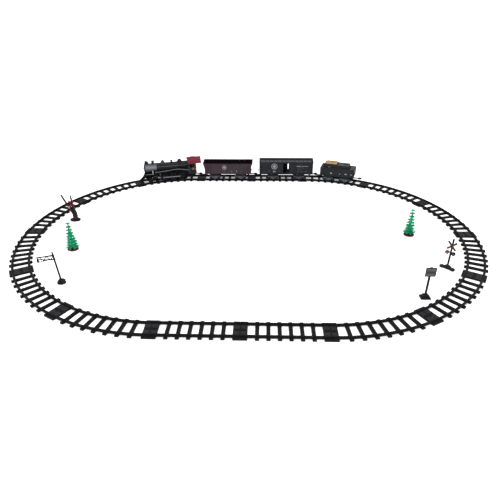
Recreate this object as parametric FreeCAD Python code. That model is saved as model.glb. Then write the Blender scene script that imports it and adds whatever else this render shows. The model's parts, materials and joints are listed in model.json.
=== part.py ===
import FreeCAD, Part
import math
import os

from FreeCAD import Vector

# Battery train set: a steam locomotive, a hopper wagon, a boxcar and a tender on an oval of
# clip-together track, with seven trackside pieces inside the oval.
# Millimetres. Origin at the centre of the oval on the floor, +X along its long axis, +Z up.
# The train stands on the +Y straight and runs forward towards -X.

# Track
TIE_PITCH = 18.5
STRAIGHT = 8 * TIE_PITCH
CURVE_R = 345.0
CURVE_DEG = 30.0
TIES_STRAIGHT = 8
TIES_CURVE = 9
TIE_LENGTH = 44.4
TIE_WIDTH = 6.8
TIE_TOP = 3.6
RAIL_TOP = 6.5
RAIL_HALF = 1.5
RAIL_FOOT_HALF = 2.3
RAIL_Y = 15.75
END_PLATE = 12.0
END_GAP = 0.1
CLIP_LENGTH = 8.0
CLIP_WIDTH = 6.2
CLIP_Y = 6.5
CLIP_PLAY = 0.3

# Wheels and axles
WHEEL_R = 5.5
DRIVER_R = 10.0
FLANGE_DEPTH = 1.2
WHEEL_LIFT = 0.25
WHEEL_BACK = 12.4
WHEEL_TREAD = 13.5
WHEEL_FACE = 17.5
AXLE_R = 1.0
DRIVER_AXLE_R = 1.5
RUNNING_FIT = 0.06
WHEEL_Z = RAIL_TOP + WHEEL_R + WHEEL_LIFT
DRIVER_Z = RAIL_TOP + DRIVER_R + WHEEL_LIFT

# Bogies
BOGIE_WHEELBASE = 20.0
BOGIE_LENGTH = 32.0
SIDE_FRAME_IN = 18.3
SIDE_FRAME_OUT = 20.6
PIVOT_R = 2.0
BOLSTER_TOP = 19.5

# Couplings
BAR_BOTTOM = 14.8
BAR_TOP = 17.2
RING_R = 5.0
RING_HOLE_R = 3.2
POST_R = 1.6
PIN_R = 1.5

# Places along the track
HOPPER_X = -68.5
BOXCAR_X = 100.0
LOCO_ARC = 83.7
LOCO_SHARE = 0.38
TENDER_ARC = 102.2
HOPPER_POST_X = -150.0
BOXCAR_POST_X = 11.5

# Wagon bodies
BODY_BOTTOM = 22.0
HOPPER_HALF = 66.5
HOPPER_RIM_HALF = 71.5
HOPPER_TOP = 53.0
HOPPER_BOGIE = 37.5
BOXCAR_HALF = 76.5
BOXCAR_SIDE = 20.0
BOXCAR_EAVE = 56.0
BOXCAR_RIDGE = 62.0
BOXCAR_BOGIE = 37.5
DOOR_HALF = 9.0
DOOR_BOTTOM = 24.0
DOOR_TOP = 54.0
NEAR_DOOR_OPEN = 18.6
FAR_DOOR_OPEN = -3.6
TENDER_HALF = 48.0
TENDER_SIDE = 19.2
TENDER_BOTTOM = 21.0
TENDER_DECK = 43.5
TENDER_BUNKER = 52.5
TENDER_BOGIE = 25.0
TENDER_POST = -64.3
TENDER_PIVOT = 44.0
LOAD_BOTTOM = 46.1
LOAD_TOP = 58.0

# Locomotive, x measured from its middle driving axle
BOILER_Z = 41.5
BOILER_R = 13.0
BOILER_BORE = 11.2
SMOKEBOX_REAR = -44.0
SMOKEBOX_FRONT = -78.5
PILOT_TIP = -95.0
CAB_FRONT = 46.0
CAB_REAR = 68.0
CAB_SIDE = 19.5
ROOF_FRONT = 44.0
ROOF_REAR = 83.0
ROOF_CROWN = 65.0
ROOF_R = 23.9
ROOF_THICK = 1.6
ROOF_SIDE = 21.0
DRIVER_PITCH = 23.0
CRANK = 4.0
ROD_IN = 18.8
ROD_OUT = 20.2
FRAME_IN = 8.6
FRAME_OUT = 10.6
FOOTPLATE_BOTTOM = 28.6
PONY_X = -66.0
PONY_Y = -6.3
PONY_PIVOT_X = -40.0
PONY_REACH = math.hypot(PONY_X - PONY_PIVOT_X, PONY_Y)
LOCO_PIVOT = 62.0
MOTOR_X = 34.0
MOTOR_Z = 21.5
GEAR_TEETH = 32
PINION_TEETH = 8
CELL_R = 7.1
CELL_LENGTH = 50.5

# Trackside pieces: base centres
GATE_AT = (-423.0, 62.0)
LEFT_TREE_AT = (-377.0, -78.0)
RIGHT_TREE_AT = (367.0, 1.0)
CATENARY_AT = (-351.0, -209.0)
SIGNAL_AT = (405.0, -142.0)
SIGN_AT = (331.0, -243.0)
GATE_PIVOT_Z = 14.0
GATE_ARM_LENGTH = 59.0
GATE_ARM_RAISED = 68.0

Y_AXIS = Vector(0, 1, 0)
Z_AXIS = Vector(0, 0, 1)
ORIGIN = Vector(0, 0, 0)


def box(x0, x1, y0, y1, z0, z1):
    return Part.makeBox(x1 - x0, y1 - y0, z1 - z0, Vector(x0, y0, z0))


def rod(radius, start, end):
    """A round bar between two points."""
    start, end = Vector(*start), Vector(*end)
    return Part.makeCylinder(radius, (end - start).Length, start, end - start)


def cone(r0, r1, start, end):
    start, end = Vector(*start), Vector(*end)
    return Part.makeCone(r0, r1, (end - start).Length, start, end - start)


def prism(outline, y0, y1):
    """An outline in X and Z, extruded along Y."""
    points = [Vector(x, y0, z) for x, z in outline]
    return Part.Face(Part.makePolygon(points + points[:1])).extrude(Vector(0, y1 - y0, 0))


def lengthwise(outline, x0, x1):
    """An outline in Y and Z, extruded along X."""
    points = [Vector(x0, y, z) for y, z in outline]
    return Part.Face(Part.makePolygon(points + points[:1])).extrude(Vector(x1 - x0, 0, 0))


def plate(outline, z0, z1):
    """An outline in X and Y, extruded along Z."""
    points = [Vector(x, y, z0) for x, y in outline]
    return Part.Face(Part.makePolygon(points + points[:1])).extrude(Vector(0, 0, z1 - z0))


def turned(profile):
    """A profile of (distance along Y, radius) pairs, turned about Y."""
    points = [Vector(r, s, 0) for s, r in profile]
    return Part.Face(Part.makePolygon(points + points[:1])).revolve(ORIGIN, Y_AXIS, 360)


def fuse(shapes):
    whole = shapes[0].multiFuse(shapes[1:])
    return whole.removeSplitter()


def both_sides(shape):
    return [shape, shape.mirror(ORIGIN, Y_AXIS)]


def moved(shape, x=0.0, y=0.0, z=0.0, turn=0.0):
    """A copy turned about Z through the origin, then shifted."""
    copy = shape.copy()
    copy.rotate(ORIGIN, Z_AXIS, turn)
    copy.translate(Vector(x, y, z))
    return copy


def arc_frame(side, arc, inward=0.0):
    """Place and heading on a curve, arc mm past the straight; side is -1 left, +1 right."""
    angle = arc / CURVE_R
    reach = CURVE_R - inward
    x = side * (STRAIGHT + reach * math.sin(angle))
    return x, reach * math.cos(angle), -side * math.degrees(angle)


LOCO_FRAME = arc_frame(-1, LOCO_ARC, LOCO_SHARE)
TENDER_FRAME = arc_frame(1, TENDER_ARC, TENDER_BOGIE ** 2 / (2 * CURVE_R))
HOPPER_FRAME = (HOPPER_X, CURVE_R, 0.0)
BOXCAR_FRAME = (BOXCAR_X, CURVE_R, 0.0)


def in_frame(shape, frame):
    x, y, turn = frame
    return moved(shape, x, y, 0.0, turn)


def point_in_frame(x, y, frame):
    """World place of a point given in a vehicle's own frame."""
    fx, fy, turn = frame
    c, s = math.cos(math.radians(turn)), math.sin(math.radians(turn))
    return fx + c * x - s * y, fy + s * x + c * y


# ---------------------------------------------------------------- track


def rail_profile(y):
    half, foot, top = RAIL_HALF, RAIL_FOOT_HALF, RAIL_TOP
    right = [(foot, TIE_TOP - 0.6), (foot, 4.0), (half, 4.4), (half, top - 0.4), (half - 0.4, top)]
    left = [(-offset, z) for offset, z in reversed(right)]
    return [(y + offset, z) for offset, z in right + left]


def tie():
    """A sleeper across the track with slightly drafted long sides."""
    half, draft = TIE_WIDTH / 2, 0.35
    outline = [(-half, 0), (half, 0), (half, 2.6), (half - draft, TIE_TOP),
               (draft - half, TIE_TOP), (-half, 2.6)]
    return prism(outline, -TIE_LENGTH / 2, TIE_LENGTH / 2)


def end_plate():
    """The solid joining plate, its clip tongue and its clip slot; the section lies at +X."""
    body = box(END_GAP, END_PLATE, -TIE_LENGTH / 2, TIE_LENGTH / 2, 0, TIE_TOP)
    low, high = CLIP_Y - CLIP_WIDTH / 2, CLIP_Y + CLIP_WIDTH / 2
    slot = box(-1, CLIP_LENGTH + CLIP_PLAY, low - CLIP_PLAY, high + CLIP_PLAY, -1, TIE_TOP + 1)
    tongue = box(-CLIP_LENGTH, 1, -high, -low, 0.3, 2.6)
    marks = [box(3.0, 9.0, y - 0.5, y + 0.5, TIE_TOP - 0.2, TIE_TOP + 0.3) for y in (-1.8, 0.0, 1.8)]
    return fuse([body.cut(slot), tongue] + marks)


def straight_section():
    ties = [moved(tie(), (k + 0.5) * TIE_PITCH) for k in range(1, TIES_STRAIGHT - 1)]
    rails = [lengthwise(rail_profile(y), END_GAP, STRAIGHT - END_GAP) for y in (-RAIL_Y, RAIL_Y)]
    ends = [end_plate(), moved(end_plate(), STRAIGHT, 0, 0, 180)]
    return fuse(rails + ties + ends)


def curve_section():
    """A curve about the origin, from the +X axis towards +Y."""
    step = CURVE_DEG / TIES_CURVE
    ties = [moved(moved(tie(), 0, CURVE_R), turn=(k + 0.5) * step - 90) for k in range(1, TIES_CURVE - 1)]
    gap = math.degrees(END_GAP / CURVE_R)
    rails = []
    for y in (-RAIL_Y, RAIL_Y):
        points = [Vector(CURVE_R + offset, 0, z) for offset, z in rail_profile(y)]
        face = Part.Face(Part.makePolygon(points + points[:1]))
        face.rotate(ORIGIN, Z_AXIS, gap)
        rails.append(face.revolve(ORIGIN, Z_AXIS, CURVE_DEG - 2 * gap))
    start = moved(end_plate(), turn=90)
    start.translate(Vector(CURVE_R, 0, 0))
    end = moved(end_plate(), turn=-90)
    end.translate(Vector(CURVE_R, 0, 0))
    return fuse(rails + ties + [start, moved(end, turn=CURVE_DEG)])


def track_nodes():
    straight, curve = straight_section(), curve_section()
    nodes = {}
    for name, y in (("far_straight_track", CURVE_R), ("near_straight_track", -CURVE_R)):
        nodes[name] = Part.makeCompound([moved(straight, x, y) for x in (-STRAIGHT, 0.0)])
    for side, first in (("right", -90), ("left", 90)):
        x = STRAIGHT if side == "right" else -STRAIGHT
        for k in range(3):
            start = first + 2 * k * CURVE_DEG
            pair = [moved(curve, x, 0, 0, start), moved(curve, x, 0, 0, start + CURVE_DEG)]
            nodes[f"{side}_curve_track_{k + 1}"] = Part.makeCompound(pair)
    return nodes


# ---------------------------------------------------------------- wheels and bogies


def wheel_profile(tread_r, axle_r, end):
    """Half of a wheelset from its middle out to one axle end."""
    flange = tread_r + FLANGE_DEPTH
    dish = tread_r - 1.2
    return [(0, axle_r), (WHEEL_BACK - 0.8, axle_r), (WHEEL_BACK - 0.8, axle_r + 1.2),
            (WHEEL_BACK, axle_r + 1.2), (WHEEL_BACK, flange - 0.3), (WHEEL_BACK + 0.3, flange),
            (WHEEL_TREAD - 0.3, flange), (WHEEL_TREAD, tread_r + 0.5), (WHEEL_TREAD, tread_r),
            (WHEEL_FACE - 0.3, tread_r - 0.05), (WHEEL_FACE, tread_r - 0.3), (WHEEL_FACE, dish),
            (WHEEL_FACE - 0.9, dish - 0.3), (WHEEL_FACE - 0.9, axle_r + 1.3),
            (WHEEL_FACE + 0.3, axle_r + 1.1), (WHEEL_FACE + 0.3, axle_r), (end - 0.2, axle_r),
            (end, axle_r - 0.2), (end, 0)]


def wheelset(tread_r, axle_r, end):
    half = wheel_profile(tread_r, axle_r, end)
    other = [(-s, r) for s, r in reversed(half[1:])]
    return turned(other + half)


def side_frame():
    """One cast side frame with two windows and blind journal holes."""
    half = BOGIE_LENGTH / 2
    right = [(half - 1, 16.6), (half, 15.4), (half, 10.5), (half - 2, 9.4), (8, 9.4), (5.5, 8.0)]
    left = [(-x, z) for x, z in reversed(right)]
    frame = prism(right + left, SIDE_FRAME_IN, SIDE_FRAME_OUT)
    for side in (-1, 1):
        x = side * BOGIE_WHEELBASE / 2
        window = [(side * 2.4, 10.2), (side * 6.6, 13.2), (side * 6.6, 15.0), (side * 2.4, 15.0)]
        frame = frame.cut(prism(window, SIDE_FRAME_IN - 1, SIDE_FRAME_OUT + 1))
        journal = rod(AXLE_R + RUNNING_FIT, (x, SIDE_FRAME_IN - 1, WHEEL_Z), (x, 20.05, WHEEL_Z))
        cap = rod(2.3, (x, SIDE_FRAME_OUT - 0.1, WHEEL_Z), (x, SIDE_FRAME_OUT + 0.5, WHEEL_Z))
        frame = frame.cut(journal).fuse(cap)
    springs = [rod(0.9, (x, SIDE_FRAME_OUT, 9.2), (x, SIDE_FRAME_OUT, 13.4)) for x in (-1.3, 1.3)]
    return fuse([frame] + springs)


def bogie():
    """Two side frames, the bolster between them and the pivot hole."""
    bolster = box(-3, 3, -SIDE_FRAME_IN - 0.5, SIDE_FRAME_IN + 0.5, 13.8, 16.4)
    boss = rod(5.0, (0, 0, 16.0), (0, 0, BOLSTER_TOP))
    hole = rod(PIVOT_R + RUNNING_FIT, (0, 0, 10), (0, 0, 25))
    return fuse(both_sides(side_frame()) + [bolster, boss]).cut(hole)


def bogie_nodes(vehicle, half_spacing, frame, lean=0.0):
    """Front and rear bogies with their wheelsets; lean turns each along a curved track."""
    nodes = {}
    for end, x, turn in (("front", -half_spacing, lean), ("rear", half_spacing, -lean)):
        here = (*point_in_frame(x, 0, frame), frame[2] + turn)
        nodes[f"{vehicle}_{end}_bogie"] = in_frame(bogie(), here)
        for k, dx in ((1, -BOGIE_WHEELBASE / 2), (2, BOGIE_WHEELBASE / 2)):
            wheels = moved(wheelset(WHEEL_R, AXLE_R, 19.9), dx, 0, WHEEL_Z)
            nodes[f"{vehicle}_{end}_wheels_{k}"] = in_frame(wheels, here)
    return nodes


def bogie_pivot(x, bottom):
    """The stepped pin under a body that a bogie turns on."""
    return [rod(5.0, (x, 0, BOLSTER_TOP + 0.3), (x, 0, bottom + 0.5)),
            rod(PIVOT_R, (x, 0, 14.6), (x, 0, bottom))]


# ---------------------------------------------------------------- couplings


def front_tongue(end, post_x, bottom):
    """A tongue under the front of a body with an upright post for the next ring."""
    hanger = box(end + 1, end + 5, -3, 3, 12.4, bottom + 0.5)
    tongue = box(post_x - 2.2, end + 5, -2.4, 2.4, 12.4, 14.4)
    post = rod(POST_R, (post_x, 0, 14.0), (post_x, 0, 18.6))
    head = cone(POST_R, 0.9, (post_x, 0, 18.6), (post_x, 0, 19.6))
    return [hanger, tongue, post, head]


def drawbar_pin(x, bottom):
    """The headed pin under the rear of a body that holds a drawbar."""
    return [rod(3.2, (x, 0, BAR_TOP + 0.3), (x, 0, bottom + 0.5)),
            rod(PIN_R, (x, 0, 14.0), (x, 0, bottom)),
            rod(2.6, (x, 0, 13.0), (x, 0, 14.5))]


def drawbar(length):
    """An eye at the origin and a ring length mm towards +X."""
    eye = rod(3.6, (0, 0, BAR_BOTTOM), (0, 0, BAR_TOP))
    ring = rod(RING_R, (length, 0, BAR_BOTTOM), (length, 0, BAR_TOP))
    bar = box(0, length, -1.7, 1.7, BAR_BOTTOM + 0.3, BAR_TOP - 0.3)
    holes = [rod(PIN_R + RUNNING_FIT, (0, 0, 10), (0, 0, 25)),
             rod(RING_HOLE_R, (length, 0, 10), (length, 0, 25))]
    shape = fuse([eye, ring, bar])
    for hole in holes:
        shape = shape.cut(hole)
    return shape


def placed_drawbar(pivot, ring):
    """A drawbar from one world point to another."""
    dx, dy = ring[0] - pivot[0], ring[1] - pivot[1]
    turn = math.degrees(math.atan2(dy, dx))
    return moved(drawbar(math.hypot(dx, dy)), pivot[0], pivot[1], 0, turn)


# ---------------------------------------------------------------- hopper wagon


def hopper_body():
    half, top, slope_top = HOPPER_HALF, HOPPER_TOP, HOPPER_RIM_HALF - 0.8
    outer = [(-half, BODY_BOTTOM), (half, BODY_BOTTOM), (half, 36), (slope_top, top), (-slope_top, top),
             (-half, 36)]
    inner = [(-half + 1.6, 24.5), (half - 1.6, 24.5), (half - 1.6, 36.3), (slope_top - 1.6, top + 1),
             (1.6 - slope_top, top + 1), (1.6 - half, 36.3)]
    shell = prism(outer, -20.2, 20.2).cut(prism(inner, -18.8, 18.8))
    rim = box(-HOPPER_RIM_HALF, HOPPER_RIM_HALF, -21, 21, top - 2, top)
    rim = rim.cut(box(1.4 - slope_top, slope_top - 1.4, -18.8, 18.8, 40, 60))
    sill = box(-half, half, -21, 21, BODY_BOTTOM, BODY_BOTTOM + 2.4)
    ribs = [box(x - 0.8, x + 0.8, -20.9, 20.9, BODY_BOTTOM, top - 1) for x in range(-60, 61, 12)]
    end_ribs = [box(-half - 0.9, half + 0.9, y - 0.8, y + 0.8, BODY_BOTTOM, 37) for y in (-12, 0, 12)]
    inside = prism(inner, -18.8, 18.8)
    body = fuse([shell, rim, sill] + ribs + end_ribs).cut(inside)
    under = [box(-60, 60, -3, 3, 20, BODY_BOTTOM + 1)]
    for x in (-HOPPER_BOGIE, HOPPER_BOGIE):
        under += bogie_pivot(x, BODY_BOTTOM)
    under += front_tongue(-half, HOPPER_POST_X - HOPPER_X, BODY_BOTTOM)
    under += drawbar_pin(59.0, BODY_BOTTOM)
    return fuse([body] + under)


def hopper_nodes():
    nodes = {"hopper_body": in_frame(hopper_body(), HOPPER_FRAME)}
    nodes.update(bogie_nodes("hopper", HOPPER_BOGIE, HOPPER_FRAME))
    pivot = point_in_frame(59.0, 0, HOPPER_FRAME)
    nodes["hopper_drawbar"] = placed_drawbar(pivot, (BOXCAR_POST_X, CURVE_R))
    return nodes


# ---------------------------------------------------------------- boxcar


def boxcar_body():
    half, side = BOXCAR_HALF, BOXCAR_SIDE
    gable = [(-side, BODY_BOTTOM), (side, BODY_BOTTOM), (side, BOXCAR_EAVE), (0, BOXCAR_RIDGE - 1),
             (-side, BOXCAR_EAVE)]
    body = lengthwise(gable, -half, half)
    inside = box(1.5 - half, half - 1.5, 1.4 - side, side - 1.4, DOOR_BOTTOM, 70)
    doorway = box(-DOOR_HALF, DOOR_HALF, -side - 1, side + 1, DOOR_BOTTOM, DOOR_TOP)
    body = body.cut(inside).cut(doorway)
    sill = box(-half, half, -side - 0.7, side + 0.7, BODY_BOTTOM, 23.2)
    ribs = []
    for x in (-66, -54, -42, -30, 30, 42, 54, 66):
        ribs += both_sides(box(x - 0.5, x + 0.5, side - 0.2, side + 0.3, 23, 55))
    ledges = both_sides(box(-28.5, 28.5, side - 0.2, side + 1.8, 22.6, 23.6))
    ledges += both_sides(box(-28.5, 28.5, side - 0.2, side + 1.8, 54.9, 55.6))
    ends = [box(-half - 0.6, half + 0.6, y - 0.7, y + 0.7, 23, 55) for y in (-13, -4.5, 4.5, 13)]
    ends = [rib.cut(box(0.8 - half, half - 0.8, -30, 30, 0, 80)) for rib in ends]
    brake_wheel = rod(3.6, (-half - 3.4, -8, 31), (-half - 2.6, -8, 31))
    brake_stem = rod(0.8, (-half - 3.0, -8, 31), (-half + 1, -8, 31))
    under = [box(-70, 70, -3, 3, 20, BODY_BOTTOM + 1)]
    for x in (-BOXCAR_BOGIE, BOXCAR_BOGIE):
        under += bogie_pivot(x, BODY_BOTTOM)
    under += front_tongue(-half, BOXCAR_POST_X - BOXCAR_X, BODY_BOTTOM)
    under += drawbar_pin(69.0, BODY_BOTTOM)
    return fuse([body, sill, brake_wheel, brake_stem] + ribs + ledges + ends + under)


def boxcar_roof():
    """A ribbed gable roof with a raised walk along the ridge."""
    half, side = BOXCAR_HALF + 0.8, BOXCAR_SIDE + 1.0
    rise = (BOXCAR_RIDGE - 1 - BOXCAR_EAVE) / BOXCAR_SIDE
    drop = BOXCAR_EAVE - rise * 1.0
    outline = [(-side, drop), (0, BOXCAR_RIDGE - 1), (side, drop), (side, drop + 1.0),
               (0, BOXCAR_RIDGE), (-side, drop + 1.0)]
    pieces = [lengthwise(outline, -half, half)]
    rib = [(-side, drop + 0.5), (0, BOXCAR_RIDGE - 0.5), (side, drop + 0.5), (side, drop + 1.5),
           (0, BOXCAR_RIDGE + 0.5), (-side, drop + 1.5)]
    for k in range(13):
        x = -72 + 12 * k
        pieces.append(lengthwise(rib, x - 0.6, x + 0.6))
    pieces.append(box(-half + 1, half - 1, -3.2, 3.2, BOXCAR_RIDGE - 0.6, BOXCAR_RIDGE + 1.0))
    return fuse(pieces)


def boxcar_door(x):
    """A panel outside the near wall with two stiles and a diagonal."""
    outer = -BOXCAR_SIDE - 0.3
    panel = box(x - 9.4, x + 9.4, outer - 0.8, outer, 23.9, 54.7)
    frame = panel.cut(box(x - 8.2, x + 8.2, outer - 2, outer + 1, 25.4, 53.2))
    frame.translate(Vector(0, -0.4, 0))
    bars = [box(x - 8.6, x + 8.6, outer - 1.2, outer - 0.4, z, z + 1.0) for z in (34.5, 44.0)]
    handle = box(x - 7.6, x - 6.8, outer - 1.4, outer - 0.6, 36.5, 42.0)
    return fuse([panel, frame, handle] + bars)


def boxcar_nodes():
    far = boxcar_door(-FAR_DOOR_OPEN).rotated(ORIGIN, Z_AXIS, 180)
    nodes = {
        "boxcar_body": boxcar_body(),
        "boxcar_roof": boxcar_roof(),
        "boxcar_near_door": boxcar_door(NEAR_DOOR_OPEN),
        "boxcar_far_door": far,
    }
    nodes = {name: in_frame(shape, BOXCAR_FRAME) for name, shape in nodes.items()}
    nodes.update(bogie_nodes("boxcar", BOXCAR_BOGIE, BOXCAR_FRAME))
    pivot = point_in_frame(69.0, 0, BOXCAR_FRAME)
    nodes["boxcar_drawbar"] = placed_drawbar(pivot, point_in_frame(TENDER_POST, 0, TENDER_FRAME))
    return nodes


# ---------------------------------------------------------------- tender


def tender_body():
    half, side = TENDER_HALF, TENDER_SIDE
    tank = box(-half, half, -side, side, TENDER_BOTTOM, TENDER_DECK)
    bunker_outline = [(-41, TENDER_DECK - 1), (32, TENDER_DECK - 1), (32, TENDER_BUNKER - 2),
                      (30, TENDER_BUNKER), (-1.4, TENDER_BUNKER), (-1.4, TENDER_BUNKER + 1.5),
                      (-37.5, TENDER_BUNKER + 1.5), (-41, TENDER_DECK + 3)]
    bunker = prism(bunker_outline, -14.5, 14.5)
    pit = box(-36.4, -3, -12.6, 12.6, LOAD_BOTTOM - 0.1, 60)
    rim = both_sides(box(-half, half, side - 0.9, side + 0.2, TENDER_DECK - 1.2, TENDER_DECK + 0.9))
    rim.append(box(half - 0.9, half + 0.2, -side - 0.2, side + 0.2, TENDER_DECK - 1.2, TENDER_DECK + 0.9))
    sill = box(-half, half, -side - 0.6, side + 0.6, TENDER_BOTTOM, TENDER_BOTTOM + 1.8)
    hatch = rod(4.2, (22, 0, TENDER_BUNKER - 0.5), (22, 0, TENDER_BUNKER + 1.4))
    ladder = [box(half - 0.2, half + 1.4, y, y + 0.8, 23, TENDER_DECK) for y in (8.0, 13.2)]
    ladder += [box(half - 0.2, half + 1.4, 8.0, 14.0, z, z + 0.8) for z in (25, 29, 33, 37)]
    under = [box(2 - half, half - 2, -3, 3, 19.8, TENDER_BOTTOM + 1)]
    for x in (-TENDER_BOGIE, TENDER_BOGIE):
        under += bogie_pivot(x, TENDER_BOTTOM)
    under += front_tongue(-half, TENDER_POST, TENDER_BOTTOM)
    under += drawbar_pin(TENDER_PIVOT, TENDER_BOTTOM)
    return fuse([tank, bunker.cut(pit), sill, hatch] + rim + ladder + under)


def tender_load():
    """A heaped load that drops into the bunker."""
    base = [(-36.2, -12.4), (-3.2, -12.4), (-3.2, 12.4), (-36.2, 12.4)]
    lower = plate(base, LOAD_BOTTOM, 54.4)
    top = [(-33.6, -9.6), (-5.8, -9.6), (-5.8, 9.6), (-33.6, 9.6)]
    wires = [Part.makePolygon([Vector(x, y, z) for x, y in ring + ring[:1]])
             for ring, z in ((base, 54.4), (top, LOAD_TOP))]
    return fuse([lower, Part.makeLoft(wires, True, True)])


def tender_nodes():
    nodes = {"tender_body": tender_body(), "tender_load": tender_load()}
    nodes = {name: in_frame(shape, TENDER_FRAME) for name, shape in nodes.items()}
    lean = math.degrees(TENDER_BOGIE / CURVE_R)
    nodes.update(bogie_nodes("tender", TENDER_BOGIE, TENDER_FRAME, lean))
    nodes["tender_drawbar"] = in_frame(moved(drawbar(20.0), TENDER_PIVOT), TENDER_FRAME)
    return nodes


# ---------------------------------------------------------------- locomotive


def loco_chassis():
    """Side plates, footplate, cylinders, slide bars, saddle, cowcatcher and couplings."""
    plates = both_sides(box(-36, 66, FRAME_IN, FRAME_OUT, 11, FOOTPLATE_BOTTOM))
    footplate = box(-56, 67, -18, 18, FOOTPLATE_BOTTOM, 31.2)
    opening = box(-34, 44, -8.4, 8.4, 20, 40)
    stays = [box(x - 1.5, x + 1.5, -FRAME_OUT, FRAME_OUT, 20, 24) for x in (-34.5, -11.5, 11.5, 60)]
    front_deck = box(-80, -38, -15, 15, 24, 27.6)
    riser = box(-47, -44, -15, 15, 24, 31.2)
    saddle = box(-62, -48, -9, 9, 27, 34)
    cylinders = both_sides(rod(5.0, (-54.5, 15.6, 18.6), (-44, 15.6, 18.6)))
    cylinders += both_sides(box(-53.5, -45, 11, 19.6, 18.6, 29))
    bars = both_sides(box(-44.5, -35, 18.4, 20.2, 20.6, 21.8))
    bars += both_sides(rod(0.8, (-46, 19.3, DRIVER_Z), (-36.5, 19.3, DRIVER_Z)))
    bars += both_sides(box(-39.5, -36.5, 18.2, 20.4, 15.6, 21.8))
    beam = box(-80, -76, -17, 17, 19.5, 27.6)
    pilot_foot = box(PILOT_TIP, -79, -1.5, 1.5, 7.6, 9.2)
    slats = []
    for k in range(-5, 6):
        y = 3.0 * k
        tip = PILOT_TIP + 1.4 * abs(k)
        outline = [(-79, 20.5), (-79, 18.0), (tip + 1.5, 7.6), (tip, 7.6), (tip, 9.0), (-81.5, 20.5)]
        slats.append(prism(outline, y - 0.65, y + 0.65))
    slats.append(box(-81.5, -78.5, -15.7, 15.7, 17.8, 21))
    for side in (-1, 1):
        corner = PILOT_TIP + 6.4
        edge = [(PILOT_TIP, 0), (corner, side * 15.6), (corner + 2.4, side * 15.6), (PILOT_TIP + 2, 0)]
        slats.append(plate(edge, 7.6, 9.0))
    pony_pin = rod(PIN_R, (PONY_PIVOT_X, 0, 17.6), (PONY_PIVOT_X, 0, 25))
    pony_boss = rod(3.4, (PONY_PIVOT_X, 0, 21.0), (PONY_PIVOT_X, 0, 29))
    bracket = box(57, 67, -3.4, 3.4, 20.5, FOOTPLATE_BOTTOM + 1)
    shape = fuse([footplate.cut(opening), front_deck, riser, saddle, beam, pilot_foot, pony_pin, pony_boss,
                  bracket] + plates + stays + cylinders + bars + slats + drawbar_pin(LOCO_PIVOT, 21.0))
    for x in (-DRIVER_PITCH, 0.0, DRIVER_PITCH):
        bore = rod(DRIVER_AXLE_R + RUNNING_FIT, (x, -30, DRIVER_Z), (x, 30, DRIVER_Z))
        shape = shape.cut(bore)
    return shape.cut(boiler_room(CAB_FRONT))


def boiler_room(rear):
    """The space that the smokebox slides through and the boiler fills, with clearance."""
    return rod(BOILER_R + 1.0, (SMOKEBOX_FRONT - 40, 0, BOILER_Z), (rear, 0, BOILER_Z))


def running_board():
    """The stepped board along both sides, with its valance."""
    top = [(-50, 34), (-10, 36.8), (4, 38.8), (20, 38.6), (46, 34.2)]
    bottom = [(x, z - 1.6) for x, z in reversed(top)]
    valance = [(x, z - 3.4) for x, z in reversed(top)]
    boards = both_sides(prism(top + bottom, 9, 19.0))
    boards += both_sides(prism(top + valance, 18.2, 19.3))
    return [board.cut(boiler_room(SMOKEBOX_REAR)) for board in boards]


def cab_outline(side, radius, bottom):
    """Half-width, arch radius and bottom as a ring of points in Y and Z."""
    centre = ROOF_CROWN - ROOF_R
    reach = math.asin(side / radius)
    arch = []
    for k in range(25):
        a = reach * (1 - k / 12)
        arch.append((radius * math.sin(a), centre + radius * math.cos(a)))
    return [(-side, bottom), (side, bottom)] + arch


def loco_body():
    """Boiler, firebox, running boards and cab moulded as one open-bottomed shell."""
    boiler = rod(BOILER_R, (SMOKEBOX_REAR, 0, BOILER_Z), (CAB_FRONT + 1, 0, BOILER_Z))
    bands = [rod(BOILER_R + 0.4, (x, 0, BOILER_Z), (x + 1.4, 0, BOILER_Z)) for x in (-43.9, -35, -14, 8)]
    firebox = rod(BOILER_R + 0.7, (14, 0, BOILER_Z), (CAB_FRONT + 1, 0, BOILER_Z))
    firebox_sides = box(14, CAB_FRONT + 1, -BOILER_R - 0.7, BOILER_R + 0.7, 31.3, BOILER_Z)
    skirts = box(SMOKEBOX_REAR + 1, 14, -10.5, 10.5, 31.3, BOILER_Z)
    inner_r = ROOF_R - ROOF_THICK
    cab = lengthwise(cab_outline(CAB_SIDE, inner_r, 20), CAB_FRONT, CAB_REAR)
    room = lengthwise(cab_outline(CAB_SIDE - 1.5, inner_r - 1.5, 18), CAB_FRONT + 1.5, CAB_REAR + 1)
    shape = fuse([boiler, firebox, firebox_sides, skirts] + bands + running_board())
    bore = rod(BOILER_BORE, (SMOKEBOX_REAR - 1, 0, BOILER_Z), (CAB_FRONT, 0, BOILER_Z))
    trough = box(SMOKEBOX_REAR + 2.5, CAB_FRONT - 1, -9, 9, 30, BOILER_Z)
    shape = shape.cut(bore).cut(trough).fuse(cab).cut(room)
    shape = shape.cut(box(CAB_FRONT - 1, CAB_REAR + 1, -18.3, 18.3, 10, 31.3))
    for x in (50.0, 59.0):
        shape = shape.cut(box(x, x + 6, -30, 30, 40, 49))
    slot = box(-3.4, 7.4, -1.3, 1.3, 50, 60)
    handrail_knobs = []
    for x in (-38, -20, -2, 16, 34):
        handrail_knobs += both_sides(rod(0.8, (x, 11.5, 46.5), (x, 14.4, 47.6)))
    return fuse([shape.cut(slot)] + handrail_knobs)


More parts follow.
